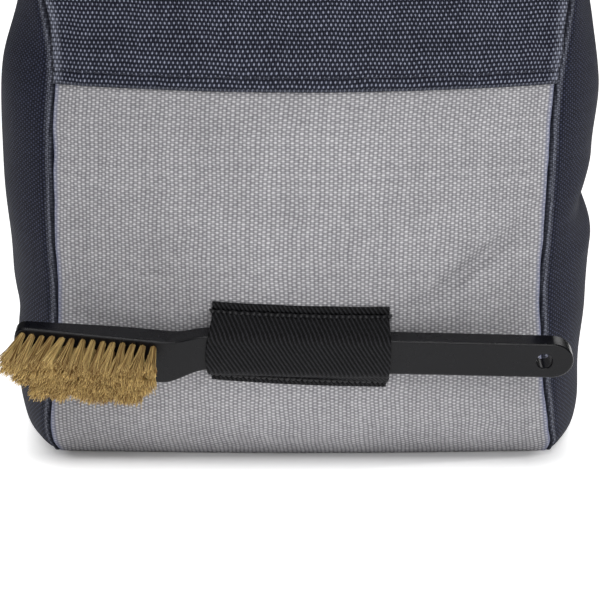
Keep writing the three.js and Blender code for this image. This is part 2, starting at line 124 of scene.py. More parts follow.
# Dents: panel, across, rise, slant, span, breadth and depth. Across and span are shares of the
# panel, rise, slant and breadth of the bag's height, and depth of its width. The last four are
# sharper than a faceted wall can show.
DENTS = (
    ("right", 0.42, 0.402, 0.1, 0.42, 0.075, 0.021),
    ("right", 0.45, 0.47, 0.0, 0.5, 0.12, 0.014),
    ("right", 0.5, 0.12, -0.04, 0.5, 0.1, 0.009),
    ("left", 0.5, 0.76, 0.0, 0.5, 0.14, 0.012),
    ("left", 0.5, 0.2, 0.08, 0.4, 0.07, 0.007),
    ("front", 0.88, 0.335, 0.5, 0.16, 0.04, 0.009),
    ("back", 0.35, 0.36, -0.12, 0.35, 0.08, 0.014),
    ("right", 0.42, 0.41, 0.1, 0.4, 0.03, 0.006),
    ("front", 0.88, 0.355, 0.57, 0.19, 0.03, 0.031),
    ("back", 0.38, 0.36, -0.12, 0.3, 0.03, 0.004),
    ("left", 0.52, 0.21, 0.08, 0.34, 0.03, 0.003),
)

# Seam pulls towards the bag's middle: seam, rise, breadth and pull. Rise and breadth are shares
# of the bag's height, and pull of the front's width.
SEAM_PULLS = (
    ("front_right", 0.33, 0.22, 0.005),
    ("front_right", 0.62, 0.34, -0.007),
    ("front_right", 0.12, 0.11, 0.007),
    ("front_right", 0.0, 0.05, -0.012),
    ("front_right", 0.76, 0.24, -0.014),
    ("front_left", 0.66, 0.13, 0.012),
)

# Each panel: the seams at its ends, the panels beside it, and the column and size of its swell
PANELS = {
    name: {"ends": ends, "beside": beside, "column": column, "size": size}
    for name, ends, beside, column, size in (
        ("front", ("front_left", "front_right"), ("left", "right"), "front", BODY_DEPTH),
        ("right", ("front_right", "back_right"), ("front", "back"), "side", BODY_WIDTH / 2),
        ("back", ("back_right", "back_left"), ("right", "left"), "back", BODY_DEPTH),
        ("left", ("back_left", "front_left"), ("back", "front"), "side", BODY_WIDTH / 2),
    )
}


# The bag's surface

def section_value(column, height):
    """A column of the section table at some heights, on a smooth curve through its rows."""
    rises = SECTION["rise"]
    values = SECTION[column]
    last = len(rises) - 1
    index = np.arange(last + 1)
    before = np.maximum(index - 1, 0)
    after = np.minimum(index + 1, last)
    slopes = (values[after] - values[before]) / (rises[after] - rises[before])
    share = np.clip(height / BAG_HEIGHT, 0, 1)
    row = np.clip(np.searchsorted(rises, share, side="left") - 1, 0, last - 1)
    span = rises[row + 1] - rises[row]
    t = (share - rises[row]) / span
    rest = 1 - t
    return (
        (1 + 2 * t) * rest * rest * values[row]
        + t * rest * rest * span * slopes[row]
        + t * t * (3 - 2 * t) * values[row + 1]
        - t * t * rest * span * slopes[row + 1]
    )


def bump(distance, breadth):
    """1 at zero, 0 from one breadth away."""
    return (1 + np.cos(np.pi * np.clip(np.abs(distance) / breadth, 0, 1))) / 2


def smooth(value, low, high):
    """0 below low, 1 above high and a smooth rise between them."""
    t = np.clip((value - low) / (high - low), 0, 1)
    return t * t * (3 - 2 * t)


def seam_corners(height):
    """The four seams at some heights, counter-clockwise from the front left."""
    front = section_value("front_seam", height) * FRONT_WIDTH / 2
    back = section_value("back_seam", height) * BACK_WIDTH / 2
    front_depth = section_value("front_corner", height) * BODY_DEPTH
    back_depth = section_value("back_corner", height) * BODY_DEPTH
    corners = {
        "front_left": np.stack([-front, -front_depth], -1),
        "front_right": np.stack([front, -front_depth], -1),
        "back_right": np.stack([back, back_depth], -1),
        "back_left": np.stack([-back, back_depth], -1),
    }
    for seam, rise, breadth, pull in SEAM_PULLS:
        share = bump(height - rise * BAG_HEIGHT, breadth * BAG_HEIGHT) * pull
        corner = corners[seam]
        corner[..., 0] -= np.sign(corner[..., 0]) * share * FRONT_WIDTH
    return corners


def dot(a, b):
    return np.sum(a * b, axis=-1)


def unit(a):
    return a / np.linalg.norm(a, axis=-1, keepdims=True)


def right_of(way):
    """Flat directions turned a quarter to their right."""
    return np.stack([way[..., 1], -way[..., 0]], -1)


def together(*values):
    """Numbers and arrays as arrays of one shape."""
    return np.broadcast_arrays(*(np.asarray(value, float) for value in values))


def path_lengths(points):
    """How far along a path each of its points lies."""
    return np.concatenate([[0], np.cumsum(np.linalg.norm(np.diff(points, axis=0), axis=1))])


def at_lengths(places, lengths, points):
    """Points of a path at some lengths along it."""
    return np.stack([np.interp(places, lengths, column) for column in points.T], -1)


def panel_arc(name, height):
    """The arc of a panel at some heights: middle, outward normal, direction, half chord, swell."""
    panel = PANELS[name]
    corners = seam_corners(height)
    start, end = (corners[seam] for seam in panel["ends"])
    along = unit(end - start)
    normal = right_of(along)
    middle = (start + end) / 2
    swell = section_value(panel["column"], height) * panel["size"] - dot(middle, normal)
    return middle, normal, along, np.linalg.norm(end - start, axis=-1) / 2, swell


def arc_turn(half, swell):
    radius = (half**2 + swell**2) / (2 * swell)
    return radius, np.arcsin(np.minimum(half / radius, 1))


def arc_point(arc, place):
    """A point of an arc, from -1 at its first end to 1 at its second."""
    middle, normal, along, half, swell = arc
    radius, turn = arc_turn(half, swell)
    angle = place * turn
    outward = radius * np.cos(angle) - (radius - swell)
    return middle + along * (radius * np.sin(angle))[..., None] + normal * outward[..., None]


def end_normal(arc, end):
    _, normal, along, half, swell = arc
    _, turn = arc_turn(half, swell)
    return normal * np.cos(turn)[..., None] + along * (end * np.sin(turn))[..., None]


def dent_depth(name, across, height):
    depth = np.zeros_like(height)
    for panel, place, rise, slant, span, breadth, deep in DENTS:
        if panel == name:
            centre = (rise + (across - place) * slant) * BAG_HEIGHT
            share = bump(across - place, span) * bump(height - centre, breadth * BAG_HEIGHT)
            depth += share * deep * BODY_WIDTH
    return depth * np.sqrt(np.sin(np.pi * np.clip(across, 0, 1)))


def panel_point(name, across, height, offset=0.0):
    """Points of a panel, offset outwards from the bag's outer surface."""
    across, height, offset = together(across, height, offset)
    arc = panel_arc(name, height)
    first, second = PANELS[name]["beside"]
    ends = []
    for end, beside in ((-1, first), (1, second)):
        mine = end_normal(arc, end)
        other = end_normal(panel_arc(beside, height), -end)
        mitre = (mine + other) / (1 + dot(mine, other))[..., None]
        ends.append(arc_point(arc, np.full_like(height, end)) + mitre * offset[..., None])
    start, stop = ends
    along = unit(stop - start)
    start = start + along * SHOWN_GAP / 2
    stop = stop - along * SHOWN_GAP / 2
    normal = right_of(along)
    middle = (start + stop) / 2
    crown = arc[0] + arc[1] * (arc[4] + offset)[..., None]
    moved = (middle, normal, along, np.linalg.norm(stop - start, axis=-1) / 2, dot(crown - middle, normal))
    flat = arc_point(moved, 2 * across - 1) - normal * dent_depth(name, across, height)[..., None]
    return np.concatenate([flat, height[..., None]], axis=-1)


def length_at(name, height):
    """Length of a panel's arc at one height, as a plain number."""
    return float(panel_length(name, np.array([height]))[0])


def panel_length(name, height):
    """Length of a panel's arc from seam to seam."""
    _, _, _, half, swell = panel_arc(name, height)
    radius, turn = arc_turn(half, swell)
    return 2 * radius * turn


RISE_STEPS = 400
OUTWARD_STEP = 0.3


def wall_length(name, height):
    """Length up the middle of a wall, so that the weave keeps its pitch where the wall bends."""
    marks = np.linspace(0, BAG_HEIGHT, RISE_STEPS)
    return np.interp(height, marks, path_lengths(panel_point(name, 0.5, marks)))


def panel_outward(name, across, height):
    """Directions out of a panel's outer side."""
    share = OUTWARD_STEP / panel_length(name, height)
    sideways = panel_point(name, across + share, height) - panel_point(name, across - share, height)
    up = panel_point(name, across, height + OUTWARD_STEP) - panel_point(name, across, height - OUTWARD_STEP)
    return unit(np.cross(unit(sideways), unit(up)))


WAVES = 14


def ripples(seed, longest, shortest):
    """A smooth random surface of plane waves: a function of two lengths in mm, about -1 to 1."""
    random = np.random.default_rng(seed)
    lengths = longest * (shortest / longest) ** random.random(WAVES)
    turns = random.random(WAVES) * 2 * np.pi
    phases = random.random(WAVES) * 2 * np.pi
    sizes = lengths / longest
    total = math.sqrt(float(np.sum(sizes**2)))

    def surface(u, v):
        sum_of_waves = np.zeros(np.broadcast(u, v).shape)
        for length, turn, phase, size in zip(lengths, turns, phases, sizes):
            reach = u * math.cos(turn) + v * math.sin(turn)
            sum_of_waves += size * np.sin(2 * np.pi * reach / length + phase)
        return sum_of_waves / total

    return surface


# Meshes

def add_object(name, data):
    item = bpy.data.objects.new(name, data)
    bpy.context.scene.collection.objects.link(item)
    return item


def make_piece(name, points, faces, material):
    """A smooth mesh object from points in millimetres, with its faces turned outwards."""
    mesh = bpy.data.meshes.new(name)
    mesh.from_pydata((np.asarray(points) * MM).tolist(), [], faces)
    work = bmesh.new()
    work.from_mesh(mesh)
    bmesh.ops.recalc_face_normals(work, faces=work.faces)
    for face in work.faces:
        face.smooth = True
    work.to_mesh(mesh)
    work.free()
    mesh.materials.append(material)
    return add_object(name, mesh)


def note(piece, name, values):
    """Keeps a vector for each vertex, for the materials to read."""
    attribute = piece.data.attributes.new(name, "FLOAT_VECTOR", "POINT")
    attribute.data.foreach_set("vector", np.asarray(values, np.float32).ravel())


def finish_piece(piece, body, slot, *nodes):
    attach(piece, body)
    if nodes:
        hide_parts(*nodes)


def ladder(first, second):
    """Triangles between two chains that run side by side, from how far along each point lies."""
    rungs = []
    a = b = 0
    while a < len(first) - 1 or b < len(second) - 1:
        take_first = b == len(second) - 1 or (a < len(first) - 1 and first[a + 1] <= second[b + 1])
        if take_first:
            rungs.append(((0, a), (0, a + 1), (1, b)))
            a += 1
        else:
            rungs.append(((0, a), (1, b + 1), (1, b)))
            b += 1
    return rungs


def ring_faces(rings, sides, first=0):
    """Quads between closed rings of points, which are numbered ring after ring."""
    faces = []
    for start in range(first, first + (rings - 1) * sides, sides):
        for side in range(sides):
            a = start + side
            b = start + (side + 1) % sides
            faces.append((a, b, b + sides, a + sides))
    return faces


def circle_angles(count):
    return np.linspace(0, 2 * np.pi, count, endpoint=False)


def around(side, other, count):
    """Directions round a line, from two that are square to it and to each other."""
    angles = circle_angles(count)
    return side[..., None, :] * np.cos(angles)[:, None] + other[..., None, :] * np.sin(angles)[:, None]


def shell_faces(columns, outer_rows, inner_rows):
    """Faces of a closed shell: each column's profile goes up the outside and down the inside."""
    count = len(outer_rows) + len(inner_rows)
    faces = ring_faces(columns, count)
    for rung in ladder(outer_rows, inner_rows):
        corners = [index if chain == 0 else count - 1 - index for chain, index in rung]
        faces.append(tuple(corners))
        faces.append(tuple(corner + (columns - 1) * count for corner in reversed(corners)))
    return faces


def spread_from_ends(length, finest, growth, coarsest):
    """Places from 0 to 1 along a length, close together at both ends."""
    steps = []
    step = finest
    while sum(steps) + step < length / 2:
        steps.append(step)
        step = min(step * growth, coarsest)
    half = np.concatenate([[0], np.cumsum(steps)]) / length
    middle = [] if 0.5 - half[-1] > finest / length else [half[-1]]
    half = half[: len(half) - len(middle)]
    return np.concatenate([half, [0.5], (1 - half)[::-1]])


def rows_between(low, high, step):
    return np.linspace(low, high, max(1, math.ceil((high - low) / step)) + 1)


# Relief of the cloth panels. A spread holds its finest step, its growth and its coarsest step,
# and waves hold their longest and shortest length.
ROW_STEP = 1.3
FINE_STEP = 0.28
INSIDE_STEP = 5.0
COLUMN_SPREAD = (0.16, 1.17, 2.1)
ROUNDING_STEPS = 7
ROLL = 1.5
ROLL_DEPTH = 1.25
EDGE_ROLL = 0.9
RIDGE_HEIGHT = 0.42
RIDGE_PLACE = 1.5
RIDGE_BREADTH = 1.3
VALLEY_DEPTH = 0.3
VALLEY_PLACE = 4.2
VALLEY_BREADTH = 2.6
PUCKER = 0.16
PUCKER_REACH = 5.0
PUCKER_WAVES = (15, 5)
PUCKER_SHIFT = 50.0
SWELL = 0.5
PUCKER_SEED = 31
SWELL_WAVES = (95, 28)
SWELL_SEED = 11
SWELL_FULLNESS = 0.7
SWELL_FOOT = 14.0
LAP_STITCH = 4.6
HEM_STITCH = 13.0
# Painted shade along the lap's lower edge: rows this high above it count as this near a seam
EDGE_SHADE = 1.0
EDGE_SHADE_TINT = 0.8
STITCH_GROOVE = 0.32
STITCH_GROOVE_BREADTH = 1.1

broad_ripples = {name: ripples(seed, *SWELL_WAVES) for seed, name in enumerate(PANELS, SWELL_SEED)}
fine_ripples = {name: ripples(seed, *PUCKER_WAVES) for seed, name in enumerate(PANELS, PUCKER_SEED)}


def rolled(distance, radius, depth):
    """How far a cloth edge turns in towards its seam."""
    t = np.clip(1 - distance / radius, 0, 1)
    return -depth * (1 - np.sqrt(1 - t * t))


def seam_relief(name, across, height):
    """Cloth turning into the seams on both sides of a panel, and the puckers beside them."""
    length = panel_length(name, height)
    relief = np.zeros_like(height)
    for end, beside in ((0, PANELS[name]["beside"][0]), (1, PANELS[name]["beside"][1])):
        distance = np.abs(across - end) * length
        if name in ("left", "right") and beside == "front":
            relief += rolled(distance, EDGE_ROLL, ROLL_DEPTH)
            relief += RIDGE_HEIGHT * bump(distance - RIDGE_PLACE, RIDGE_BREADTH)
            relief -= VALLEY_DEPTH * bump(distance - VALLEY_PLACE, VALLEY_BREADTH)
        else:
            relief += rolled(distance, ROLL, ROLL_DEPTH)
        relief += PUCKER * np.exp(-distance / PUCKER_REACH) * fine_ripples[name](end * PUCKER_SHIFT, height)
    return relief


def cloth_relief(name, across, height):
    """All the small forms of a panel's outer side."""
    along = (across - 0.5) * panel_length(name, height)
    fade = np.sin(np.pi * np.clip(across, 0, 1)) ** SWELL_FULLNESS * smooth(height, 0, SWELL_FOOT)
    return seam_relief(name, across, height) + SWELL * fade * broad_ripples[name](along, height)


def groove(height, place):
    return -STITCH_GROOVE * bump(height - place, STITCH_GROOVE_BREADTH)


def rounded_edge(height, low, high, radius, upward):
    """Rows round a turned edge from one offset to another, at a lower or an upper edge."""
    middle = (low + high) / 2
    half = (high - low) / 2
    angles = np.linspace(-np.pi / 2, np.pi / 2, ROUNDING_STEPS)
    sign = 1 if upward else -1
    return [
        (height - sign * radius * (1 - math.cos(angle)), middle + half * math.sin(angle))
        for angle in angles
    ]


def cloth_panel(name, node, outer, inner, material, slot, follow_inside=0, lower_edge=None):
    """One wall of the bag. outer and inner hold height and offset from the bottom up, and the
    first follow_inside rows of the inside keep the relief of the outside."""
    heights = [row[0] for row in outer] + [row[0] for row in reversed(inner)]
    offsets = [row[1] for row in outer] + [row[1] for row in reversed(inner)]
    follows = [1.0] * len(outer) + [float(row < follow_inside) for row in reversed(range(len(inner)))]
    length = length_at(name, BAG_HEIGHT / 2)
    places = spread_from_ends(length, *COLUMN_SPREAD)
    across, height = np.meshgrid(places, heights, indexing="ij")
    offset = np.broadcast_to(offsets, height.shape)
    follow = np.broadcast_to(follows, height.shape)
    relief = cloth_relief(name, across, height) * follow
    points = panel_point(name, across, height, offset + relief).reshape(-1, 3)
    faces = shell_faces(len(places), [row[0] for row in outer], [row[0] for row in inner])
    piece = make_piece(node + "_cloth", points, faces, material)
    spans = panel_length(name, height)
    # The distance to the nearest seam carries the painted seam shade and ridge highlight
    seam = np.minimum(across, 1 - across) * spans
    # Rows just above the lap's lower edge count as near a seam, for painted shade along that edge
    if lower_edge is not None:
        seam = np.where(height < lower_edge + EDGE_SHADE, np.minimum(seam, EDGE_SHADE_TINT), seam)
    cloth = np.stack([(across - 0.5) * spans, wall_length(name, height), seam], -1)
    note(piece, "cloth", cloth.reshape(-1, 3))
    finish_piece(piece, "bag", slot, node)


FOOT = 0.35
LOWER_FRONT_TOP = LAP_HEIGHT + LAP_OVERLAP
PROUD = SEAM_GAP + LAP_THICKNESS
INSIDE_TOP = BAG_HEIGHT - WALL
MOUTH_MARGIN = 1.6
MOUTH_ROUNDING = 1.3
HEM_FOLD = BAG_HEIGHT - HEM_HEIGHT
FOLD_START = HEM_FOLD - 0.7
FOLD_END = HEM_FOLD + 0.2
BELOW_FOLD = HEM_FOLD - 1.0
ABOVE_FOLD = HEM_FOLD + 4.6


def with_heights(heights, offset_at):
    return [(height, float(offset_at(height))) for height in heights]


def mouth_edge():
    """Rows over the mouth's edge, from the hem's outside to the wall's inside."""
    return rounded_edge(BAG_HEIGHT, -WALL, HEM_THICKNESS, MOUTH_ROUNDING, True)[::-1]


def hem_offset(height):
    """The turned hem stands proud above its lower fold, with a stitched groove."""
    return HEM_THICKNESS * smooth(height, FOLD_START, FOLD_END) + groove(height, BAG_HEIGHT - HEM_STITCH)


def outside_rows(low):
    """Heights up the outside, closer together at the hem's fold and stitches."""
    return np.concatenate([
        rows_between(low, BELOW_FOLD, ROW_STEP)[:-1],
        rows_between(BELOW_FOLD, ABOVE_FOLD, FINE_STEP)[:-1],
        rows_between(ABOVE_FOLD, BAG_HEIGHT - MOUTH_MARGIN, ROW_STEP),
    ])


def inside_rows(low, high):
    return with_heights(rows_between(low, high, INSIDE_STEP), lambda height: -WALL)


def whole_wall(name, node, material):
    outer = with_heights(outside_rows(FOOT), hem_offset) + mouth_edge()
    cloth_panel(name, node, outer, inside_rows(FOOT, INSIDE_TOP), material, "navy_fabric")


def lower_front(material):
    outer = with_heights(rows_between(FOOT, LOWER_FRONT_TOP, ROW_STEP), lambda height: 0.0)
    inner = inside_rows(FOOT, LOWER_FRONT_TOP)
    cloth_panel("front", "lower_front_panel", outer, inner, material, "grey_fabric")


# The lap and its rows, from its edge up over the lower panel to the wall above
LAP_PUFF = 0.25
LAP_SEAT = SEAM_GAP * 0.4
LAP_ROUNDING = 0.45
LAP_START = LAP_HEIGHT + 0.6
LAP_FINE_TOP = LAP_HEIGHT + LAP_STITCH + 2.4
LAP_STEP = LOWER_FRONT_TOP + 0.4
NEXT_ROW = 0.5


def upper_offset(height):
    """The lap stands proud over the lower panel, with a stitched fold along its edge."""
    fade = smooth(height, LOWER_FRONT_TOP, LOWER_FRONT_TOP + LAP_FADE)
    puff = LAP_PUFF * bump(height - LAP_HEIGHT - LAP_STITCH / 2, LAP_STITCH / 2)
    return PROUD * (1 - fade) + puff + groove(height, LAP_HEIGHT + LAP_STITCH) + hem_offset(height)


def upper_front(material):
    edge = rounded_edge(LAP_HEIGHT, LAP_SEAT, PROUD, LAP_ROUNDING, False)
    heights = [rows_between(LAP_START, LAP_FINE_TOP, FINE_STEP), outside_rows(LAP_FINE_TOP + NEXT_ROW)]
    outer = edge + with_heights(np.concatenate(heights), upper_offset) + mouth_edge()
    seat = [(LAP_START, LAP_SEAT), (LAP_STEP, LAP_SEAT)]
    inner = seat + inside_rows(LOWER_FRONT_TOP + NEXT_ROW, INSIDE_TOP)
    cloth_panel("front", "upper_front_panel", outer, inner, material, "navy_fabric", len(seat), LAP_HEIGHT)


# The base, whose edge rows hold a share of its outline and a height
BASE_RINGS = 22
BASE_INSET = 0.25
BASE_SIDE_STEP = 3.0
BASE_FLOOR = 0.02
BASE_SHARES = (0.08, 0.985)
BASE_EDGE = ((0.993, 0.2), (0.998, 0.6), (1.0, 1.1), (0.998, 1.6), (0.993, 2.0))
BASE_FROM_SEAM = 10.0


def base_panel(material):
    """The flat base, whose rounded edge lies inside the walls' foot."""
    outline = []
    for name in PANELS:
        length = length_at(name, WALL)
        places = np.linspace(0, 1, math.ceil(length / BASE_SIDE_STEP), endpoint=False)
        outline.append(panel_point(name, places, WALL, -(WALL + BASE_INSET))[:, :2])
    outline = np.concatenate(outline)
    count = len(outline)
    shares = np.linspace(*BASE_SHARES, BASE_RINGS)
    profile = [(share, BASE_FLOOR) for share in shares]
    profile += BASE_EDGE
    profile += [(share, WALL) for share in shares[::-1]]
    rings = [np.column_stack([outline * share, np.full(count, height)]) for share, height in profile]
    points = np.concatenate(rings + [[[0, 0, BASE_FLOOR], [0, 0, WALL]]])
    faces = ring_faces(len(profile), count)
    last = (len(profile) - 1) * count
    under, over = len(points) - 2, len(points) - 1
    for index in range(count):
        following = (index + 1) % count
        faces.append((under, following, index))
        faces.append((over, last + index, last + following))
    piece = make_piece("base_panel_cloth", points, faces, material)
    cloth = np.column_stack([points[:, 0], points[:, 1], np.full(len(points), BASE_FROM_SEAM)])
    note(piece, "cloth", cloth)
    finish_piece(piece, "bag", "grey_fabric", "base_panel")


# Thread. Arch, sink, ends and wear are shares of its radius.
STITCH = 2.5
STITCH_SPACE = 0.75
STITCH_MARGIN = 2.2
THREAD_RADIUS = 0.24
THREAD_SIDES = 7
THREAD_BENDS = 8
THREAD_ARCH = 1.5
THREAD_SINK = 0.7
THREAD_ENDS = 0.55
THREAD_WEAR = (0.94, 0.12)
THREAD_SEED = 5


def stitch_row(name, path, outward, gap, radius, material, slot, wander=0.0):
    """Sewn thread along a path, where each stitch dips into the cloth at both ends."""
    random = np.random.default_rng(THREAD_SEED)
    lengths = path_lengths(path)
    pitch = STITCH + gap
    count = int((lengths[-1] + gap) / pitch)
    spare = (lengths[-1] - count * pitch + gap) / 2
    t = np.linspace(0, 1, THREAD_BENDS)
    arch = np.sin(np.pi * t)
    thinnest, variety = THREAD_WEAR
    points = []
    faces = []
    for number in range(count):
        places = spare + number * pitch + t * STITCH
        line = at_lengths(places, lengths, path)
        out = unit(at_lengths(places, lengths, outward))
        side = unit(np.cross(out, unit(np.gradient(line, axis=0))))
        lean = wander * (random.random() - 0.5 + (number % 2 - 0.5))
        line = line + out * (radius * (THREAD_ARCH * arch - THREAD_SINK))[:, None]
        line = line + side * (lean * (t - 0.5))[:, None]
        thick = radius * (THREAD_ENDS + (1 - THREAD_ENDS) * arch**0.5)
        thick = thick * (thinnest + variety * random.random())
        ring = around(out, side, THREAD_SIDES) * thick[:, None, None]
        points.append((line[:, None] + ring).reshape(-1, 3))
        first = number * THREAD_BENDS * THREAD_SIDES
        last = first + (THREAD_BENDS - 1) * THREAD_SIDES
        faces += ring_faces(THREAD_BENDS, THREAD_SIDES, first)
        faces.append(tuple(range(first, first + THREAD_SIDES)))
        faces.append(tuple(reversed(range(last, last + THREAD_SIDES))))
    piece = make_piece(name, np.concatenate(points), faces, material)
    finish_piece(piece, "bag", slot)


PATH_STEP = 0.8


def panel_path(name, height, offset_at):
    """A level path on a panel's outer side, between its seams, with its outward directions."""
    length = length_at(name, height)
    margin = STITCH_MARGIN / length
    across = rows_between(margin, 1 - margin, PATH_STEP / length)
    level = np.full_like(across, height)
    offset = cloth_relief(name, across, level) + offset_at(height)
    return panel_point(name, across, level, offset), panel_outward(name, across, level)


def bag_stitches(material):
    rows = [("lap", "front", LAP_HEIGHT + LAP_STITCH, upper_offset)]
    for name in PANELS:
        offset_at = upper_offset if name == "front" else hem_offset
        rows.append((name + "_hem", name, BAG_HEIGHT - HEM_STITCH, offset_at))
    for row, name, height, offset_at in rows:
        path = panel_path(name, height, offset_at)
        stitch_row(row + "_stitches", *path, STITCH_SPACE, THREAD_RADIUS, material, "navy_fabric")


# The brush's own frame: X along the handle to its round end, Y across it upwards, Z out of its face
SEARCH_STEPS = 22
SETTLE_STEPS = 5


def front_point(x, height):
    """The point of the front's outer surface at a place given by x and height."""
    x, height = together(x, height)
    low = np.zeros(x.shape)
    high = np.ones(x.shape)
    for _ in range(SEARCH_STEPS):
        middle = (low + high) / 2
        left = panel_point("front", middle, height)[..., 0] < x
        low = np.where(left, middle, low)
        high = np.where(left, high, middle)
    return panel_point("front", (low + high) / 2, height)


SLOPE_REACH = 2.0
slope_low, slope_seat, slope_high = front_point(0, BRUSH_HEIGHT + np.array([-SLOPE_REACH, 0, SLOPE_REACH]))
BRUSH_ROLL = math.atan2(slope_low[1] - slope_high[1], 2 * SLOPE_REACH)
BRUSH_LIFT = SEAM_GAP + HANDLE_THICKNESS / 2
BRUSH_PLACE = Vector((
    0,
    slope_seat[1] - BRUSH_LIFT * math.cos(BRUSH_ROLL),
    BRUSH_HEIGHT - BRUSH_LIFT * math.sin(BRUSH_ROLL),
))
BRUSH_MATRIX = np.array(
    Matrix.Translation(BRUSH_PLACE)
    @ Matrix.Rotation(math.pi / 2 + BRUSH_ROLL, 4, "X")
    @ Matrix.Rotation(math.radians(BRUSH_TILT), 4, "Z")
)


def from_brush(points):
    return points @ BRUSH_MATRIX[:3, :3].T + BRUSH_MATRIX[:3, 3]


def turn_from_brush(directions):
    return directions @ BRUSH_MATRIX[:3, :3].T


def panel_rise(along, across):
    """How far out of the handle's middle plane the front panel stands."""
    along, across = together(along, across)
    out = np.full(along.shape, -BRUSH_LIFT)
    for _ in range(SETTLE_STEPS):
        point = from_brush(np.stack([along, across, out], -1))
        surface = front_point(point[..., 0], point[..., 2])
        out = out + (point[..., 1] - surface[..., 1]) / math.cos(BRUSH_ROLL)
    return out


# Sleeve. Strays and sags are those of its stitched strips, and fade over STRIP_RISE, which holds
# shares of its way over the brush.
RIB_PITCH = 1.27
RIB_ANGLE = 57.0
RIB_HEIGHT = 0.13
SECTION_STEP = 0.27
SLEEVE_COLUMNS = 240
SLEEVE_SPREAD = (0.1, 1.25)
SLEEVE_BULGE = 1.8
BULGE_SHARPNESS = 6
RIGHT_BULGE = 0.3
SLEEVE_EDGE = 0.55
SLEEVE_THINNEST = 0.97
SLEEVE_WAVE = 0.22
SLEEVE_WAVES = (30, 8)
SLEEVE_SEED = 71
FLANGE_SEAT = 0.12
FLANGE_GROOVE = 0.6
FLANGE_GROOVE_BREADTH = 1.5
FLANGE_GROOVE_SHIFT = 0.2
FLANGE_END = 1.5
LIE_SHARE = 0.3
LOWER_STRAY = -1.5
UPPER_STRAY = -0.6
LOWER_SAG = 0.3
UPPER_SAG = 0.5
STRIP_RISE = (0.1, 0.3)
CORNER_PASSES = 3
CORNER_SHARE = 0.25

sleeve_ripples = ripples(SLEEVE_SEED, *SLEEVE_WAVES)


def round_corners(points):
    """Cuts the corners of an open path, with its ends kept."""
    near, far = 1 - CORNER_SHARE, CORNER_SHARE
    for _ in range(CORNER_PASSES):
        first = near * points[:-1] + far * points[1:]
        second = far * points[:-1] + near * points[1:]
        middle = np.stack([first, second], 1).reshape(-1, 2)
        points = np.concatenate([points[:1], middle[1:-1], points[-1:]])
    return points


def evenly(points, step):
    """The same path with its points a step apart, and how far along it each of them lies."""
    lengths = path_lengths(points)
    places = rows_between(0, lengths[-1], step)
    return at_lengths(places, lengths, points), places


def sleeve_section():
    """The elastic's inner side in section, from its lower edge to its upper one: places across
    the brush and out of its face, which follow the handle's edges and the front panel."""
    edge = SLEEVE_HEIGHT / 2
    stitch = edge - SLEEVE_FLANGE
    side = HANDLE_WIDTH / 2 + SLEEVE_CLEARANCE
    crest = HANDLE_THICKNESS / 2 + SLEEVE_CLEARANCE
    seat = panel_rise(0, np.array([-edge, -stitch, stitch, edge])) + FLANGE_SEAT
    corners = np.array([
        (-edge, seat[0]),
        (-stitch, seat[1]),
        (-stitch + 0.7, seat[1] + 0.2),
        (-side - 0.4, crest - 2.2),
        (-side + 0.6, crest - 0.1),
        (-side + 2.6, crest + 0.15),
        (0, crest + 0.3),
        (side - 2.6, crest + 0.2),
        (side - 0.4, crest - 0.1),
        (side + 0.6, crest - 1.8),
        (stitch - 0.7, seat[2] + 0.2),
        (stitch, seat[2]),
        (edge, seat[3]),
    ])
    return evenly(round_corners(corners), SECTION_STEP)


def flange_drift(share, rise):
    """How far the stitched strips stray from straight: the lower one drops towards the right."""
    near, far = STRIP_RISE
    lower = 1 - smooth(rise, near, far)
    upper = smooth(rise, 1 - far, 1 - near)
    sag = 4 * share * (1 - share)
    return lower * (LOWER_STRAY * share + LOWER_SAG * sag) + upper * (UPPER_STRAY * share + UPPER_SAG * sag)


def edge_fullness(distance):
    """How full the elastic is at some distances from its edge, for a rounded edge."""
    return np.sqrt(1 - np.clip(1 - distance / SLEEVE_EDGE, 0, SLEEVE_THINNEST) ** 2)


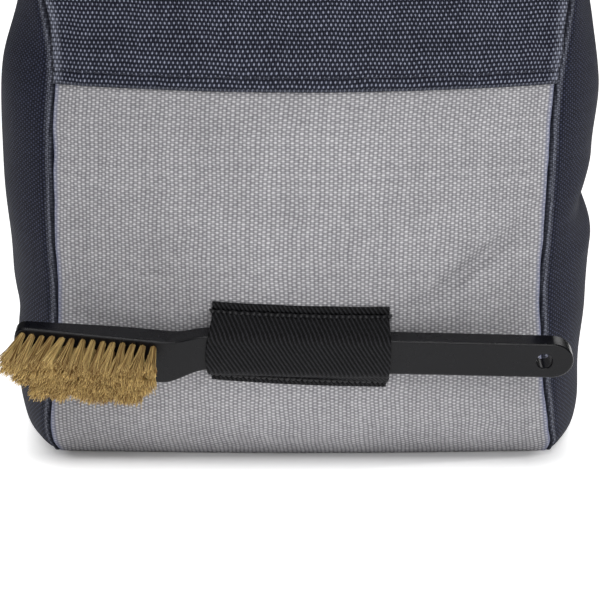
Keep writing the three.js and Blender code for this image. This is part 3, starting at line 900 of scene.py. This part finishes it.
def brush_sleeve(material):
    section, places = sleeve_section()
    way = unit(np.gradient(section, axis=0))
    normal = -right_of(way)
    flange = SLEEVE_FLANGE
    from_edge = np.minimum(places, places[-1] - places)
    seated = 1 - smooth(from_edge, flange, flange + FLANGE_END)
    columns = spread_from_ends(SLEEVE_WIDTH, *SLEEVE_SPREAD, SLEEVE_WIDTH / SLEEVE_COLUMNS)
    share, place = np.meshgrid(columns, places, indexing="ij")
    along = (share - 0.5) * SLEEVE_WIDTH
    middle = places[-1] / 2
    crest = bump(places - middle, middle - flange)[None, :]
    bulge = RIGHT_BULGE * share**BULGE_SHARPNESS - (1 - share) ** BULGE_SHARPNESS
    along = along + SLEEVE_BULGE * crest * bulge
    across = np.broadcast_to(section[:, 0], along.shape)
    sink = (panel_rise(along, across) - panel_rise(0, section[:, 0])) * seated
    end_distance = np.minimum(share, 1 - share) * SLEEVE_WIDTH
    fullness = edge_fullness(end_distance) * edge_fullness(from_edge)[None, :]
    rib_turn = math.radians(RIB_ANGLE)
    lie = LIE_SHARE * place + (1 - LIE_SHARE) * (section[:, 0] - section[0, 0])[None, :]
    rib = np.cos(2 * np.pi * (along * math.sin(rib_turn) + lie * math.cos(rib_turn)) / RIB_PITCH)
    stitched = from_edge - flange + FLANGE_GROOVE_SHIFT
    stitch_groove = FLANGE_GROOVE * bump(stitched, FLANGE_GROOVE_BREADTH)[None, :]
    wave = SLEEVE_WAVE * sleeve_ripples(along, place) * crest
    drift = flange_drift(share, place / places[-1])
    half = ELASTIC_THICKNESS / 2
    outer = half + half * fullness + RIB_HEIGHT * rib * fullness - stitch_groove + wave
    inner = half - half * fullness + wave

    def side_points(offset):
        flat = section[None] + normal[None] * offset[..., None]
        return from_brush(np.stack([along, flat[..., 0] + drift, flat[..., 1] + sink], -1))

    points = np.concatenate([side_points(outer), side_points(inner)[:, ::-1]], axis=1)
    faces = shell_faces(len(columns), list(places), list(places))
    piece = make_piece("brush_sleeve_elastic", points.reshape(-1, 3), faces, material)
    cloth = np.stack([along, lie, end_distance], -1)
    note(piece, "cloth", np.concatenate([cloth, cloth[:, ::-1]], axis=1).reshape(-1, 3))
    finish_piece(piece, "bag", "black_elastic", "brush_sleeve")
    return section, places, normal


FLANGE_THREAD = 0.72
FLANGE_THREAD_INSET = 0.3
FLANGE_THREAD_GAP = -0.5
FLANGE_THREAD_WANDER = 0.7
THREAD_OVERHANG = 1.4
THREAD_LIFT = 0.1
THREAD_DROP = 0.9
THREAD_DROP_START = 0.3


def sleeve_stitches(section, places, normal, material):
    """Thick thread along both flanges, which stands out a little at both ends."""
    low = SLEEVE_FLANGE - FLANGE_THREAD_INSET
    end = SLEEVE_WIDTH / 2
    reach = end + THREAD_OVERHANG
    along = rows_between(-reach, reach, PATH_STEP)
    share = np.clip(along / SLEEVE_WIDTH + 0.5, 0, 1)
    drop = THREAD_DROP * smooth(np.abs(along), end - THREAD_DROP_START, reach)
    lift = ELASTIC_THICKNESS + THREAD_LIFT - drop
    for name, place in (("lower", low), ("upper", places[-1] - low)):
        index = int(np.argmin(np.abs(places - place)))
        across, out = section[index]
        sink = panel_rise(along, across) - panel_rise(0, across)
        drift = flange_drift(share, place / places[-1])
        path = from_brush(np.stack([
            along,
            across + drift + normal[index, 0] * lift,
            out + sink + normal[index, 1] * lift,
        ], -1))
        outward = turn_from_brush(np.array([0, normal[index, 0], normal[index, 1]]))
        stitch_row(
            "sleeve_%s_stitches" % name,
            path,
            np.broadcast_to(outward, path.shape),
            FLANGE_THREAD_GAP,
            FLANGE_THREAD,
            material,
            "black_elastic",
            FLANGE_THREAD_WANDER,
        )


# Handle
NECK_START = -(SLEEVE_WIDTH / 2 + SLEEVE_CLEARANCE)
NECK_EASE = 0.4
HEAD_START = NECK_LENGTH - NECK_START
BACK_SWELL = (NECK_LENGTH * 0.35 - NECK_START, HEAD_START + 2)
HEAD_THINNING = 3.4
THINNING_REACH = (HEAD_START + 6, HEAD_START + HEAD_LENGTH + 4)
HANDLE_ROUNDING = 0.8
ROUND_STEPS = 7
OUTLINE_STEP = 0.45
CURVE_POINTS = 40
CAP_INSET = 0.35
SHARP_ANGLE = 38
HOLE_RIM = 0.55
HOLE_RIM_STEPS = 6
HOLE_SIDES = 64
CUTTER_REACH = 1.0
CUTTER_LIFT = 0.01


def head_point(along, across):
    """A point of the head, from its root towards its free end and across."""
    turn = math.pi - math.radians(HEAD_RISE)
    along, across = together(along, across)
    return np.stack([
        along * math.cos(turn) - across * math.sin(turn) + NECK_START - NECK_LENGTH,
        along * math.sin(turn) + across * math.cos(turn) - HEAD_DROP,
    ], -1)


def bezier(*corners):
    """Points of a curve with three or four corners."""
    t = np.linspace(0, 1, CURVE_POINTS)[:, None]
    level = [np.asarray(corner, float)[None] * np.ones_like(t) for corner in corners]
    while len(level) > 1:
        level = [a * (1 - t) + b * t for a, b in zip(level, level[1:])]
    return level[0]


def handle_side(sign):
    """Half of the handle's outline, from the middle of its round end to that of its head."""
    half = HANDLE_WIDTH / 2
    head_half = HEAD_WIDTH / 2
    ease = NECK_LENGTH * NECK_EASE
    angles = np.linspace(0, np.pi / 2, CURVE_POINTS)
    tip = np.stack([TIP_REACH - TIP_ROUND + TIP_ROUND * np.cos(angles), sign * half * np.sin(angles)], -1)
    root = head_point(0, -sign * head_half)
    neck = bezier(
        (NECK_START, sign * half),
        (NECK_START - ease, sign * half),
        (root[0] + ease, root[1]),
        root,
    )
    corner = bezier(
        head_point(HEAD_LENGTH - HEAD_CORNER, -sign * head_half),
        head_point(HEAD_LENGTH, -sign * head_half),
        head_point(HEAD_LENGTH, -sign * (head_half - HEAD_CORNER)),
    )
    end = head_point(HEAD_LENGTH, 0)[None]
    path = np.concatenate([tip, neck, corner, end])
    return path, path_lengths(path)


def handle_outline():
    """Matching points down both sides of the handle."""
    sides = [handle_side(1), handle_side(-1)]
    marks = np.linspace(0, 1, math.ceil(sides[0][1][-1] / OUTLINE_STEP))
    return [at_lengths(marks * lengths[-1], lengths, path) for path, lengths in sides]


def handle_back(x):
    """The handle's back swells towards the bag along the head and thins to its free end."""
    swell = (HEAD_THICKNESS - HANDLE_THICKNESS) * smooth(-x, *BACK_SWELL)
    return HEAD_THINNING * smooth(-x, *THINNING_REACH) - HANDLE_THICKNESS / 2 - swell


def brush_handle(material):
    upper, lower = handle_outline()
    loop = np.concatenate([upper, lower[-2:0:-1]])
    way = unit(np.roll(loop, -1, axis=0) - np.roll(loop, 1, axis=0))
    inward = -right_of(way)
    count = len(loop)
    back = handle_back(loop[:, 0])
    face = np.full(count, HANDLE_THICKNESS / 2)
    radius = HANDLE_ROUNDING
    cap = loop + inward * (radius + CAP_INSET)
    quarter = np.linspace(0, np.pi / 2, ROUND_STEPS)
    rings = [np.column_stack([cap, back])]
    for angles, level, sign in ((quarter, back, 1), (quarter[::-1], face, -1)):
        for angle in angles:
            edge = loop + inward * radius * (1 - math.sin(angle))
            rings.append(np.column_stack([edge, level + sign * radius * (1 - math.cos(angle))]))
    rings.append(np.column_stack([cap, face]))
    faces = ring_faces(len(rings), count)
    for first in (0, (len(rings) - 1) * count):
        for index in range(len(upper) - 1):
            pair = (first + index, first + index + 1)
            other = (first + (count - index) % count, first + count - index - 1)
            quad = (pair[0], pair[1], other[1], other[0])
            faces.append(tuple(dict.fromkeys(quad)))
    body = make_piece("brush_handle_body", from_brush(np.concatenate(rings)), faces, material)
    cutter = hole_cutter(material)
    cut = body.modifiers.new("hole", "BOOLEAN")
    cut.operation = "DIFFERENCE"
    cut.solver = "EXACT"
    cut.object = cutter
    shaped = bpy.data.meshes.new_from_object(body.evaluated_get(bpy.context.evaluated_depsgraph_get()))
    body.modifiers.clear()
    body.data = shaped
    bpy.data.objects.remove(cutter)
    shaped.set_sharp_from_angle(angle=math.radians(SHARP_ANGLE))
    body.modifiers.new("flat_faces", "WEIGHTED_NORMAL").keep_sharp = True
    finish_piece(body, "brush", "black_plastic", "brush_handle")


def hole_cutter(material):
    """A round cutter that flares at both faces, for a hole with rounded rims."""
    face = HANDLE_THICKNESS / 2
    bore = HOLE_DIAMETER / 2
    profile = [(bore + HOLE_RIM, face + CUTTER_REACH)]
    for angle in np.linspace(0, np.pi / 2, HOLE_RIM_STEPS):
        radius = bore + HOLE_RIM * (1 - math.sin(angle))
        profile.append((radius, face - HOLE_RIM * (1 - math.cos(angle)) + CUTTER_LIFT))
    profile += [(radius, -height) for radius, height in reversed(profile)]
    angles = circle_angles(HOLE_SIDES)
    circle = np.stack([np.cos(angles), np.sin(angles)], -1)
    middle = (TIP_REACH - HOLE_FROM_TIP, 0)
    rings = []
    for radius, height in profile:
        rings.append(np.column_stack([circle * radius + middle, np.full(HOLE_SIDES, height)]))
    last = (len(rings) - 1) * HOLE_SIDES
    faces = [tuple(range(HOLE_SIDES)), tuple(range(last, last + HOLE_SIDES))]
    faces += ring_faces(len(rings), HOLE_SIDES)
    return make_piece("hole_cutter", from_brush(np.concatenate(rings)), faces, material)


# Bristles. The jitters are the usual errors of a tuft's place along and across and of its two angles.
BRISTLE_SEED = 23
HAIRS_PER_TUFT = 172
HAIR_RADIUS = 0.115
HAIR_TAPER = 0.15
HAIR_RINGS = 4
HAIR_SIDES = 3
HAIR_BEND = 0.7
HAIR_ASIDE = (1.0, 0.2, 0.1)
HAIR_LENGTH_SPREAD = 0.5
ROW_INSET_POWER = 1.4
FREE_END_INSET = 2.2
PLACE_JITTER = (0.12, 0.1)
ANGLE_JITTER = (0.055, 0.04)
TUFT_ROOT = 0.95
TUFT_ROOT_DEPTH = 0.6
TUFT_TIP = (2.7, 2.1)
TUFT_DOME = 0.5
FAN_POWER = 1.5
FAN_JITTER = 0.18
TIP_JITTER = 0.3
STRAY_SHARE = 0.06
STRAY_REACH = 1.0
HAIR_TONE_SPREAD = 0.3
TUFT_TONE_SPREAD = 0.08


def brush_bristles(material):
    """Tufts of single hairs that fan out from their holes in the head's face."""
    random = np.random.default_rng(BRISTLE_SEED)
    tufts = []
    highest = TUFT_MARGIN - HEAD_WIDTH / 2
    lowest = HEAD_WIDTH / 2 - LOW_TUFT_MARGIN
    for row in range(BRISTLE_ROWS):
        down = row / (BRISTLE_ROWS - 1)
        across = highest + (lowest - highest) * down
        inset = LOW_ROW_INSET * down**ROW_INSET_POWER
        last = HEAD_LENGTH - TUFT_MARGIN - FREE_END_INSET * inset
        for along in np.linspace(TUFT_START + inset, last, TUFTS_PER_ROW):
            errors = [random.normal(0, jitter) for jitter in PLACE_JITTER]
            tufts.append(tuft_hairs(along + errors[0], across + errors[1], random))
    lines = np.concatenate([line for line, _ in tufts])
    tones = np.concatenate([tone for _, tone in tufts])
    way = unit(np.gradient(lines, axis=1))
    side = unit(np.cross(way, HAIR_ASIDE))
    other = np.cross(way, side)
    t = np.linspace(0, 1, HAIR_RINGS)
    radius = HAIR_RADIUS * (1 - HAIR_TAPER * t**3)
    points = lines[:, :, None] + around(side, other, HAIR_SIDES) * radius[None, :, None, None]
    count = HAIR_RINGS * HAIR_SIDES
    faces = []
    for first in range(0, len(lines) * count, count):
        faces += ring_faces(HAIR_RINGS, HAIR_SIDES, first)
        faces.append(tuple(reversed(range(first + count - HAIR_SIDES, first + count))))
    piece = make_piece("brush_bristle_hairs", from_brush(points.reshape(-1, 3)), faces, material)
    along_hair = np.broadcast_to(t[None, :, None], points.shape[:3])
    tone = np.broadcast_to(tones[:, None, None], points.shape[:3])
    note(piece, "hair", np.stack([along_hair, tone, np.zeros_like(tone)], -1).reshape(-1, 3))
    finish_piece(piece, "brush", "tan_bristle", "brush_bristles")


def tuft_hairs(along, across, random):
    """Centre lines of one tuft's hairs, with a tone from 0 to 1 for each."""
    foot = head_point(along, across)
    splay_error, droop_error = (random.normal(0, jitter) for jitter in ANGLE_JITTER)
    splay = math.radians(BRISTLE_SPLAY) * (along / HEAD_LENGTH) + splay_error
    droop = math.radians(BRISTLE_DROOP) + droop_error
    way = unit(np.array([-math.sin(splay), -math.sin(droop), math.cos(splay) * math.cos(droop)]))
    sideways = unit(np.cross(way, np.array([0, 1.0, 0])))
    upward = np.cross(sideways, way)
    radius = np.sqrt(random.random(HAIRS_PER_TUFT))
    angle = random.random(HAIRS_PER_TUFT) * 2 * np.pi
    spot = np.stack([radius * np.cos(angle), radius * np.sin(angle)], -1)
    length = BRISTLE_LENGTH + random.normal(0, HAIR_LENGTH_SPREAD, HAIRS_PER_TUFT) - TUFT_DOME * radius**2
    stray = random.random(HAIRS_PER_TUFT) < STRAY_SHARE
    tip = spot * TUFT_TIP * random.normal(1, FAN_JITTER) + random.normal(0, TIP_JITTER, spot.shape)
    tip += random.normal(0, STRAY_REACH, spot.shape) * stray[:, None]
    bend = random.normal(0, HAIR_BEND, spot.shape)
    t = np.linspace(0, 1, HAIR_RINGS)
    rise = t[None, :, None]
    root = np.array([*foot, HANDLE_THICKNESS / 2 - TUFT_ROOT_DEPTH])
    spread = spot[:, None] * TUFT_ROOT * (1 - rise) + tip[:, None] * rise**FAN_POWER
    spread = spread + bend[:, None] * (t * (1 - t))[None, :, None]
    lines = (
        root
        + way * (length[:, None] * t[None])[..., None]
        + sideways * spread[..., :1]
        + upward * spread[..., 1:]
    )
    hair_tones = random.normal(0, HAIR_TONE_SPREAD, HAIRS_PER_TUFT)
    return lines, np.clip(0.5 + hair_tones + random.normal(0, TUFT_TONE_SPREAD), 0, 1)


# Materials

def srgb(red, green, blue):
    """A colour given in the 0 to 255 steps of a picture, as the shaders' linear light."""
    def linear(step):
        value = step / 255
        return value / 12.92 if value <= 0.04045 else ((value + 0.055) / 1.055) ** 2.4

    return (linear(red), linear(green), linear(blue), 1.0)


class Value:
    """A number, vector or colour that a material's nodes work out, for use in sums."""

    def __init__(self, shading, socket):
        self.shading = shading
        self.socket = socket

    def math(self, operation, *others):
        return self.shading.node("Math", 0, (self, *others), operation=operation)

    def __add__(self, other):
        return self.math("ADD", other)

    def __sub__(self, other):
        return self.math("SUBTRACT", other)

    def __mul__(self, other):
        return self.math("MULTIPLY", other)

    def __truediv__(self, other):
        return self.math("DIVIDE", other)

    def vector_math(self, operation, *others, output="Vector"):
        return self.shading.node("VectorMath", output, (self, *others), operation=operation)

    def scaled(self, low, high, new_low, new_high):
        return self.shading.node("MapRange", 0, (self, low, high, new_low, new_high))

    def varied(self, amount):
        """From 0 to 1 turned into up to the amount, less or more."""
        return self.scaled(0.0, 1.0, -amount, amount)


class Shading:
    """A material's nodes, with short calls for the values that its patterns need."""

    def __init__(self, name, **settings):
        self.material = bpy.data.materials.new(name)
        self.material.use_nodes = True
        self.tree = self.material.node_tree
        self.tree.nodes.clear()
        self.shader = self.tree.nodes.new("ShaderNodeBsdfPrincipled")
        output = self.tree.nodes.new("ShaderNodeOutputMaterial")
        self.tree.links.new(self.shader.outputs["BSDF"], output.inputs["Surface"])
        self.set(**settings)

    def set(self, **settings):
        for socket, value in settings.items():
            self.put(value, self.shader.inputs[socket.replace("_", " ")])

    def put(self, value, socket):
        if isinstance(value, Value):
            self.tree.links.new(value.socket, socket)
        else:
            socket.default_value = value

    def node(self, kind, output, inputs=(), **settings):
        """Adds a node and gives one of its outputs. Its inputs come in their order or by name."""
        node = self.tree.nodes.new("ShaderNode" + kind)
        for name, setting in settings.items():
            setattr(node, name, setting)
        for key, value in dict(inputs if isinstance(inputs, dict) else enumerate(inputs)).items():
            self.put(value, node.inputs[key])
        return Value(self, node.outputs[output])

    def mix(self, share, first, second):
        node = self.tree.nodes.new("ShaderNodeMix")
        node.data_type = "RGBA"
        self.put(share, node.inputs["Factor"])
        colours = [socket for socket in node.inputs if socket.type == "RGBA"]
        self.put(first, colours[0])
        self.put(second, colours[1])
        return Value(self, next(socket for socket in node.outputs if socket.type == "RGBA"))

    def noise(self, vector, scale, detail):
        """Clouds from 0 to 1, mostly between 0.3 and 0.7."""
        return self.node("TexNoise", "Fac", {"Vector": vector, "Scale": scale, "Detail": detail})

    def patches(self, vector, scale, detail, amount):
        """Clouds from the amount less to the amount more."""
        return self.noise(vector, scale, detail).scaled(*NOISE_MIDDLE, -amount, amount)

    def chance(self, value):
        """A fixed random number for each whole value."""
        return self.node("TexWhiteNoise", "Value", {"W": value}, noise_dimensions="1D")

    def attribute(self, name):
        """A vector kept on the mesh, whole and as its three numbers."""
        vector = self.node("Attribute", "Vector", attribute_name=name)
        split = self.tree.nodes.new("ShaderNodeSeparateXYZ")
        self.put(vector, split.inputs[0])
        return vector, [Value(self, socket) for socket in split.outputs]

    def place(self):
        """The point on the object, in metres."""
        return self.node("TexCoord", "Object")

    def bump(self, height, distance, strength):
        inputs = {"Height": height, "Distance": distance, "Strength": strength}
        self.set(Normal=self.node("Bump", "Normal", inputs))


# The weave, whose brighter yarns float over a longer pitch. Its pattern is the cloth's own; the
# brighter yarn tops and darker gaps are painted highlight and painted shade. Yarns, crossings and
# patches vary in tone.
FLOAT_PITCH = 1.44
YARN_PITCH = 0.745
NOISE_MIDDLE = (0.3, 0.7)
WANDER_SCALE = 0.07
WANDER = 0.8
WANDER_RISE = 0.7
LOW_YARN_TONE = 0.45
YARN_VARIETY = 0.035
CROSSING_VARIETY = 0.03
PATCH_SCALE = 0.5
PATCH_VARIETY = 0.12
# Painted highlight on the rolled cloth beside the seams, fading out between these distances in mm
RIDGE_HIGHLIGHT_ZONE = (2.2, 5.0)
RIDGE_HIGHLIGHT_SHARE = 0.75
# Painted seam shade is full up to this distance from a seam, in mm
SEAM_SHADE_START = 0.4
SHADE_SCALE = 0.035
SHADE_RANGE = (0.93, 1.05)
FIBRE_SCALE = 7.0
FIBRE_HEIGHT = 0.12


def plain_weave(float_place, across_place):
    """Height of a plain weave, about -0.5 to 1, 1 where the yarns that are painted brighter float on
    top, and the numbers of the yarn and of the crossing. Those yarns run along float_place."""
    along = float_place / FLOAT_PITCH
    beside = across_place / YARN_PITCH
    crossing = along.math("ROUND")
    yarn = beside.math("ROUND")
    heights = []
    for place, index, other, sign in ((along, yarn, beside, 0.5), (beside, crossing, along, -0.5)):
        wave = (place * math.pi).math("COSINE") * (index * math.pi).math("COSINE") * sign
        from_middle = (other - index) * 2.0
        bow = (from_middle * from_middle * -1.0 + 1.0).math("MAXIMUM", 0.0)
        heights.append(wave + bow.math("SQRT") * 0.5)
    first, second = heights
    return first.math("MAXIMUM", second), first.math("GREATER_THAN", second), yarn, crossing


def woven_cloth(
    name, dark, middle, light, upright, dot_start, ridge_light, seam_tint, tint, relief, **settings
):
    """Coarse plain-woven cloth, whose tone paints highlight on the yarn tops and shade in the gaps.
    upright turns the brighter yarns from level to upright. A ridge colour paints a highlight on the
    rolled cloth beside the seams, and a seam colour paints shade into the seam creases, darker on both
    cloths and bluish on the grey; a pair gives the share and the reach of that painted shade."""
    shading = Shading(name, **settings)
    vector, (u, v, seam) = shading.attribute("cloth")
    shift = shading.noise(vector, WANDER_SCALE, 1.0).varied(WANDER)
    places = (u + shift, v + shift * WANDER_RISE)
    height, on_top, yarn, crossing = plain_weave(*(places[::-1] if upright else places))
    # Painted highlight on the yarn tops and painted shade in the gaps, from the weave's height
    tone = height.scaled(dot_start, 1.0, 0.0, 1.0) * on_top.scaled(0.0, 1.0, LOW_YARN_TONE, 1.0)
    tone = tone + shading.patches(vector, PATCH_SCALE, 4.0, PATCH_VARIETY)
    tone = tone + shading.chance(yarn).varied(YARN_VARIETY)
    tone = tone + shading.chance(crossing).varied(CROSSING_VARIETY)
    colour = shading.mix(tone.scaled(0.0, 0.5, 0.0, 1.0), dark, middle)
    colour = shading.mix(tone.scaled(0.5, 1.0, 0.0, 1.0), colour, light)
    # Painted highlight on the rolled cloth beside the seams
    if ridge_light:
        colour = shading.mix(tone * seam.scaled(*RIDGE_HIGHLIGHT_ZONE, RIDGE_HIGHLIGHT_SHARE, 0.0), colour, ridge_light)
    # Painted shade in the seam creases, darker on both cloths and bluish on the grey
    shade_share, shade_reach = tint
    colour = shading.mix(seam.scaled(SEAM_SHADE_START, shade_reach, shade_share, 0.0), colour, seam_tint)
    shade = shading.noise(vector, SHADE_SCALE, 3.0).scaled(*NOISE_MIDDLE, *SHADE_RANGE)
    shading.set(Base_Color=shading.node("VectorMath", 0, {0: colour, "Scale": shade}, operation="SCALE"))
    fibre = shading.noise(vector, FIBRE_SCALE, 2.0).varied(FIBRE_HEIGHT)
    shading.bump(height + fibre, relief * MM, strength=0.8)
    return shading.material


RIB_EDGE = -0.4
RIB_THREAD_PITCH = RIB_PITCH * 0.42
RIB_THREAD_DARK = 0.6
RIB_SHARE = 1.5
ELASTIC_PATCH_SCALE = 1.6
ELASTIC_PATCHES = 0.25
ELASTIC_RELIEF = 0.06


def ribbed_elastic():
    """Black twill elastic with fine threads across its ribs, whose lighter rib tops and darker grooves are
    painted highlight and painted shade.
    """
    shading = Shading("black_elastic", Roughness=0.6, Specular_IOR_Level=0.12)
    vector, (u, v, _) = shading.attribute("cloth")
    turn = math.radians(RIB_ANGLE)
    across = u * (math.sin(turn) / RIB_PITCH) + v * (math.cos(turn) / RIB_PITCH)
    along = u * (math.cos(turn) / RIB_THREAD_PITCH) - v * (math.sin(turn) / RIB_THREAD_PITCH)
    rib = (across * (2 * math.pi)).math("COSINE").scaled(RIB_EDGE, 1.0, 0.0, 1.0)
    thread = (along * (2 * math.pi)).math("COSINE").scaled(-1.0, 1.0, 0.0, 1.0)
    patch = shading.patches(vector, ELASTIC_PATCH_SCALE, 3.0, ELASTIC_PATCHES)
    # Painted highlight on the rib tops and painted shade in the grooves, along the elastic's own ribs
    tone = rib * thread.scaled(0.0, 1.0, RIB_THREAD_DARK, 1.0) + patch
    shading.set(Base_Color=shading.mix(tone, srgb(5, 5, 6), srgb(45, 45, 48)))
    shading.bump(thread + rib * RIB_SHARE, ELASTIC_RELIEF * MM, strength=0.7)
    return shading.material


# Scales of the plastic's noises, for each metre
PLASTIC_CLOUDS = 45.0
PLASTIC_RUBS = 120.0
PLASTIC_GRAIN = 2600.0
GRAIN_RELIEF = 0.01


def moulded_plastic():
    """Satin black plastic with a faint grain and a few rubbed patches."""
    shading = Shading("black_plastic", Specular_IOR_Level=0.26)
    place = shading.place()
    shading.set(
        Base_Color=shading.mix(shading.noise(place, PLASTIC_CLOUDS, 4.0), srgb(8, 8, 11), srgb(15, 15, 19)),
        Roughness=shading.noise(place, PLASTIC_RUBS, 3.0).scaled(*NOISE_MIDDLE, 0.2, 0.32),
    )
    shading.bump(shading.noise(place, PLASTIC_GRAIN, 2.0), GRAIN_RELIEF * MM, strength=0.35)
    return shading.material


ROOT_REACH = 0.7
ROOT_SHARE = 0.25


def natural_hair():
    """Tan animal hair, darker at the root and in each hair's own tone."""
    shading = Shading("tan_bristle", Roughness=0.48, Specular_IOR_Level=0.4)
    _, (along, tone, _) = shading.attribute("hair")
    hair = shading.mix(tone, srgb(116, 80, 32), srgb(244, 214, 142))
    root = along.scaled(0.0, ROOT_REACH, ROOT_SHARE, 0.0)
    shading.set(Base_Color=shading.mix(root, hair, srgb(84, 56, 24)))
    return shading.material


TWIST_SCALE = 2200.0
TWIST_RELIEF = 0.05


def sewing_thread(name, dark, light):
    """Twisted thread."""
    shading = Shading(name, Roughness=0.5, Specular_IOR_Level=0.4)
    twist = shading.noise(shading.place(), TWIST_SCALE, 2.0)
    shading.set(Base_Color=shading.mix(twist, dark, light))
    shading.bump(twist, TWIST_RELIEF * MM, strength=0.6)
    return shading.material


# Stage, light and camera
CAMERA_PLACE = (0.0, -0.763, 0.2354)
CAMERA_PITCH = 14.0
FOCAL_PIXELS = 2108.0
PICTURE_SIZE = 600.0


def add_camera():
    camera = bpy.data.cameras.new("camera")
    camera.lens = FOCAL_PIXELS / PICTURE_SIZE * camera.sensor_width
    camera.clip_start = 0.01
    holder = add_object("camera", camera)
    holder.location = CAMERA_PLACE
    holder.rotation_euler = (math.radians(90 - CAMERA_PITCH), 0, 0)
    bpy.context.scene.camera = holder


def add_light(name, place, size, power):
    light = bpy.data.lights.new(name, "AREA")
    light.shape = "RECTANGLE"
    light.size, light.size_y = size
    light.energy = power
    holder = add_object(name, light)
    holder.location = place
    holder.rotation_euler = (Vector(LIGHT_AIM) - Vector(place)).to_track_quat("-Z", "Y").to_euler()


# The floor glows white as painted light from a little past the bag's footprint on, less for the bag
# than for the camera, so the dark band round the foot is a contact shadow that is partly cast by
# the lamps and partly painted by the missing glow.
# Each light has its name, place, size in metres and power in watts.
FLOOR_REACH = 4.0
FLOOR_TONE = 0.8
FLOOR_GLOW = 0.95
FLOOR_LIGHT = 0.75
FOOTPRINT_HALF = (0.078, 0.044, 0.0)
SHADOW_START = 0.004
SHADOW_END = 0.026
WORLD_LIGHT = 0.08
WORLD_SEEN = 1.1
LIGHT_AIM = (0, -0.03, 0.1)
LIGHTS = (
    ("key", (0.1, -1.5, 1.0), (1.0, 0.8), 10.4),
    ("fill", (0.8, -1.3, 0.4), (0.9, 0.7), 4),
    ("top", (0.0, -0.2, 1.4), (1.4, 1.0), 4),
    ("back", (0.3, 1.5, 0.9), (1.2, 0.9), 5),
    ("strip", (0.1, -0.35, 1.2), (0.8, 0.02), 2),
)
WHITE = (1, 1, 1, 1)


def floor_material():
    look = Shading("floor", Roughness=0.8, Specular_IOR_Level=0.0, Base_Color=(FLOOR_TONE,) * 3 + (1,))
    beyond = look.place().vector_math("ABSOLUTE").vector_math("SUBTRACT", FOOTPRINT_HALF)
    away = beyond.vector_math("MAXIMUM", (0, 0, 0)).vector_math("LENGTH", output="Value")
    # Painted light: the floor glows from past the footprint, leaving a painted contact shadow
    glow = away.scaled(SHADOW_START, SHADOW_END, 0.0, FLOOR_GLOW)
    seen = look.node("LightPath", "Is Camera Ray")
    look.set(Emission_Strength=glow * seen.scaled(0.0, 1.0, FLOOR_LIGHT, 1.0), Emission_Color=WHITE)
    return look.material


def add_world():
    world = bpy.data.worlds.new("studio")
    world.use_nodes = True
    nodes = world.node_tree.nodes
    background = nodes["Background"]
    background.inputs["Color"].default_value = WHITE
    strength = nodes.new("ShaderNodeMapRange")
    strength.inputs["To Min"].default_value = WORLD_LIGHT
    strength.inputs["To Max"].default_value = WORLD_SEEN
    seen = nodes.new("ShaderNodeLightPath").outputs["Is Camera Ray"]
    world.node_tree.links.new(seen, strength.inputs["Value"])
    world.node_tree.links.new(strength.outputs[0], background.inputs["Strength"])
    bpy.context.scene.world = world
    bpy.context.scene.view_settings.view_transform = "Standard"


def add_stage():
    reach = FLOOR_REACH
    corners = [(-reach, -reach, 0), (reach, -reach, 0), (reach, reach, 0), (-reach, reach, 0)]
    mesh = bpy.data.meshes.new("floor")
    mesh.from_pydata(corners, [], [(0, 1, 2, 3)])
    mesh.materials.append(floor_material())
    floor = add_object("floor", mesh)
    add_world()
    for name, place, size, power in LIGHTS:
        add_light(name, place, size, power)


# The model
add_camera()
add_stage()

grey_cloth = woven_cloth(
    "grey_fabric",
    dark=srgb(112, 111, 116),
    middle=srgb(160, 159, 162),
    light=srgb(209, 208, 211),
    upright=False,
    dot_start=0.3,
    ridge_light=None,
    # Painted bluish shade in the seam creases
    seam_tint=srgb(108, 118, 160),
    tint=(0.6, 2.9),
    relief=0.22,
    Roughness=0.8,
    Specular_IOR_Level=0.15,
)
navy_look = {
    "dark": srgb(12, 13, 24),
    "middle": srgb(42, 45, 58),
    "light": srgb(146, 150, 168),
    "dot_start": 0.4,
    # Painted highlight beside the seams and painted shade in the seam creases
    "ridge_light": srgb(158, 162, 178),
    "seam_tint": srgb(12, 14, 24),
    "tint": (0.9, 1.7),
    "relief": 0.22,
    "Roughness": 0.65,
    "Specular_IOR_Level": 0.12,
}
navy_front_cloth = woven_cloth("navy_fabric_front", upright=True, **navy_look)
# The side and back walls take a darker copy of the navy: painted shade on those walls
shaded_wall_look = dict(navy_look, dark=srgb(11, 12, 22), middle=srgb(31, 33, 48), light=srgb(69, 73, 95))
shaded_navy_cloth = woven_cloth("navy_fabric", upright=False, **shaded_wall_look)
elastic = ribbed_elastic()
plastic = moulded_plastic()
hair = natural_hair()
navy_thread = sewing_thread("navy_thread", srgb(20, 22, 32), srgb(58, 61, 76))
black_thread = sewing_thread("black_thread", srgb(10, 10, 11), srgb(38, 38, 41))

base_panel(grey_cloth)
lower_front(grey_cloth)
upper_front(navy_front_cloth)
for name, node in (("right", "right_side_panel"), ("back", "back_panel"), ("left", "left_side_panel")):
    whole_wall(name, node, shaded_navy_cloth)
bag_stitches(navy_thread)
sleeve_stitches(*brush_sleeve(elastic), black_thread)
brush_handle(plastic)
brush_bristles(hair)
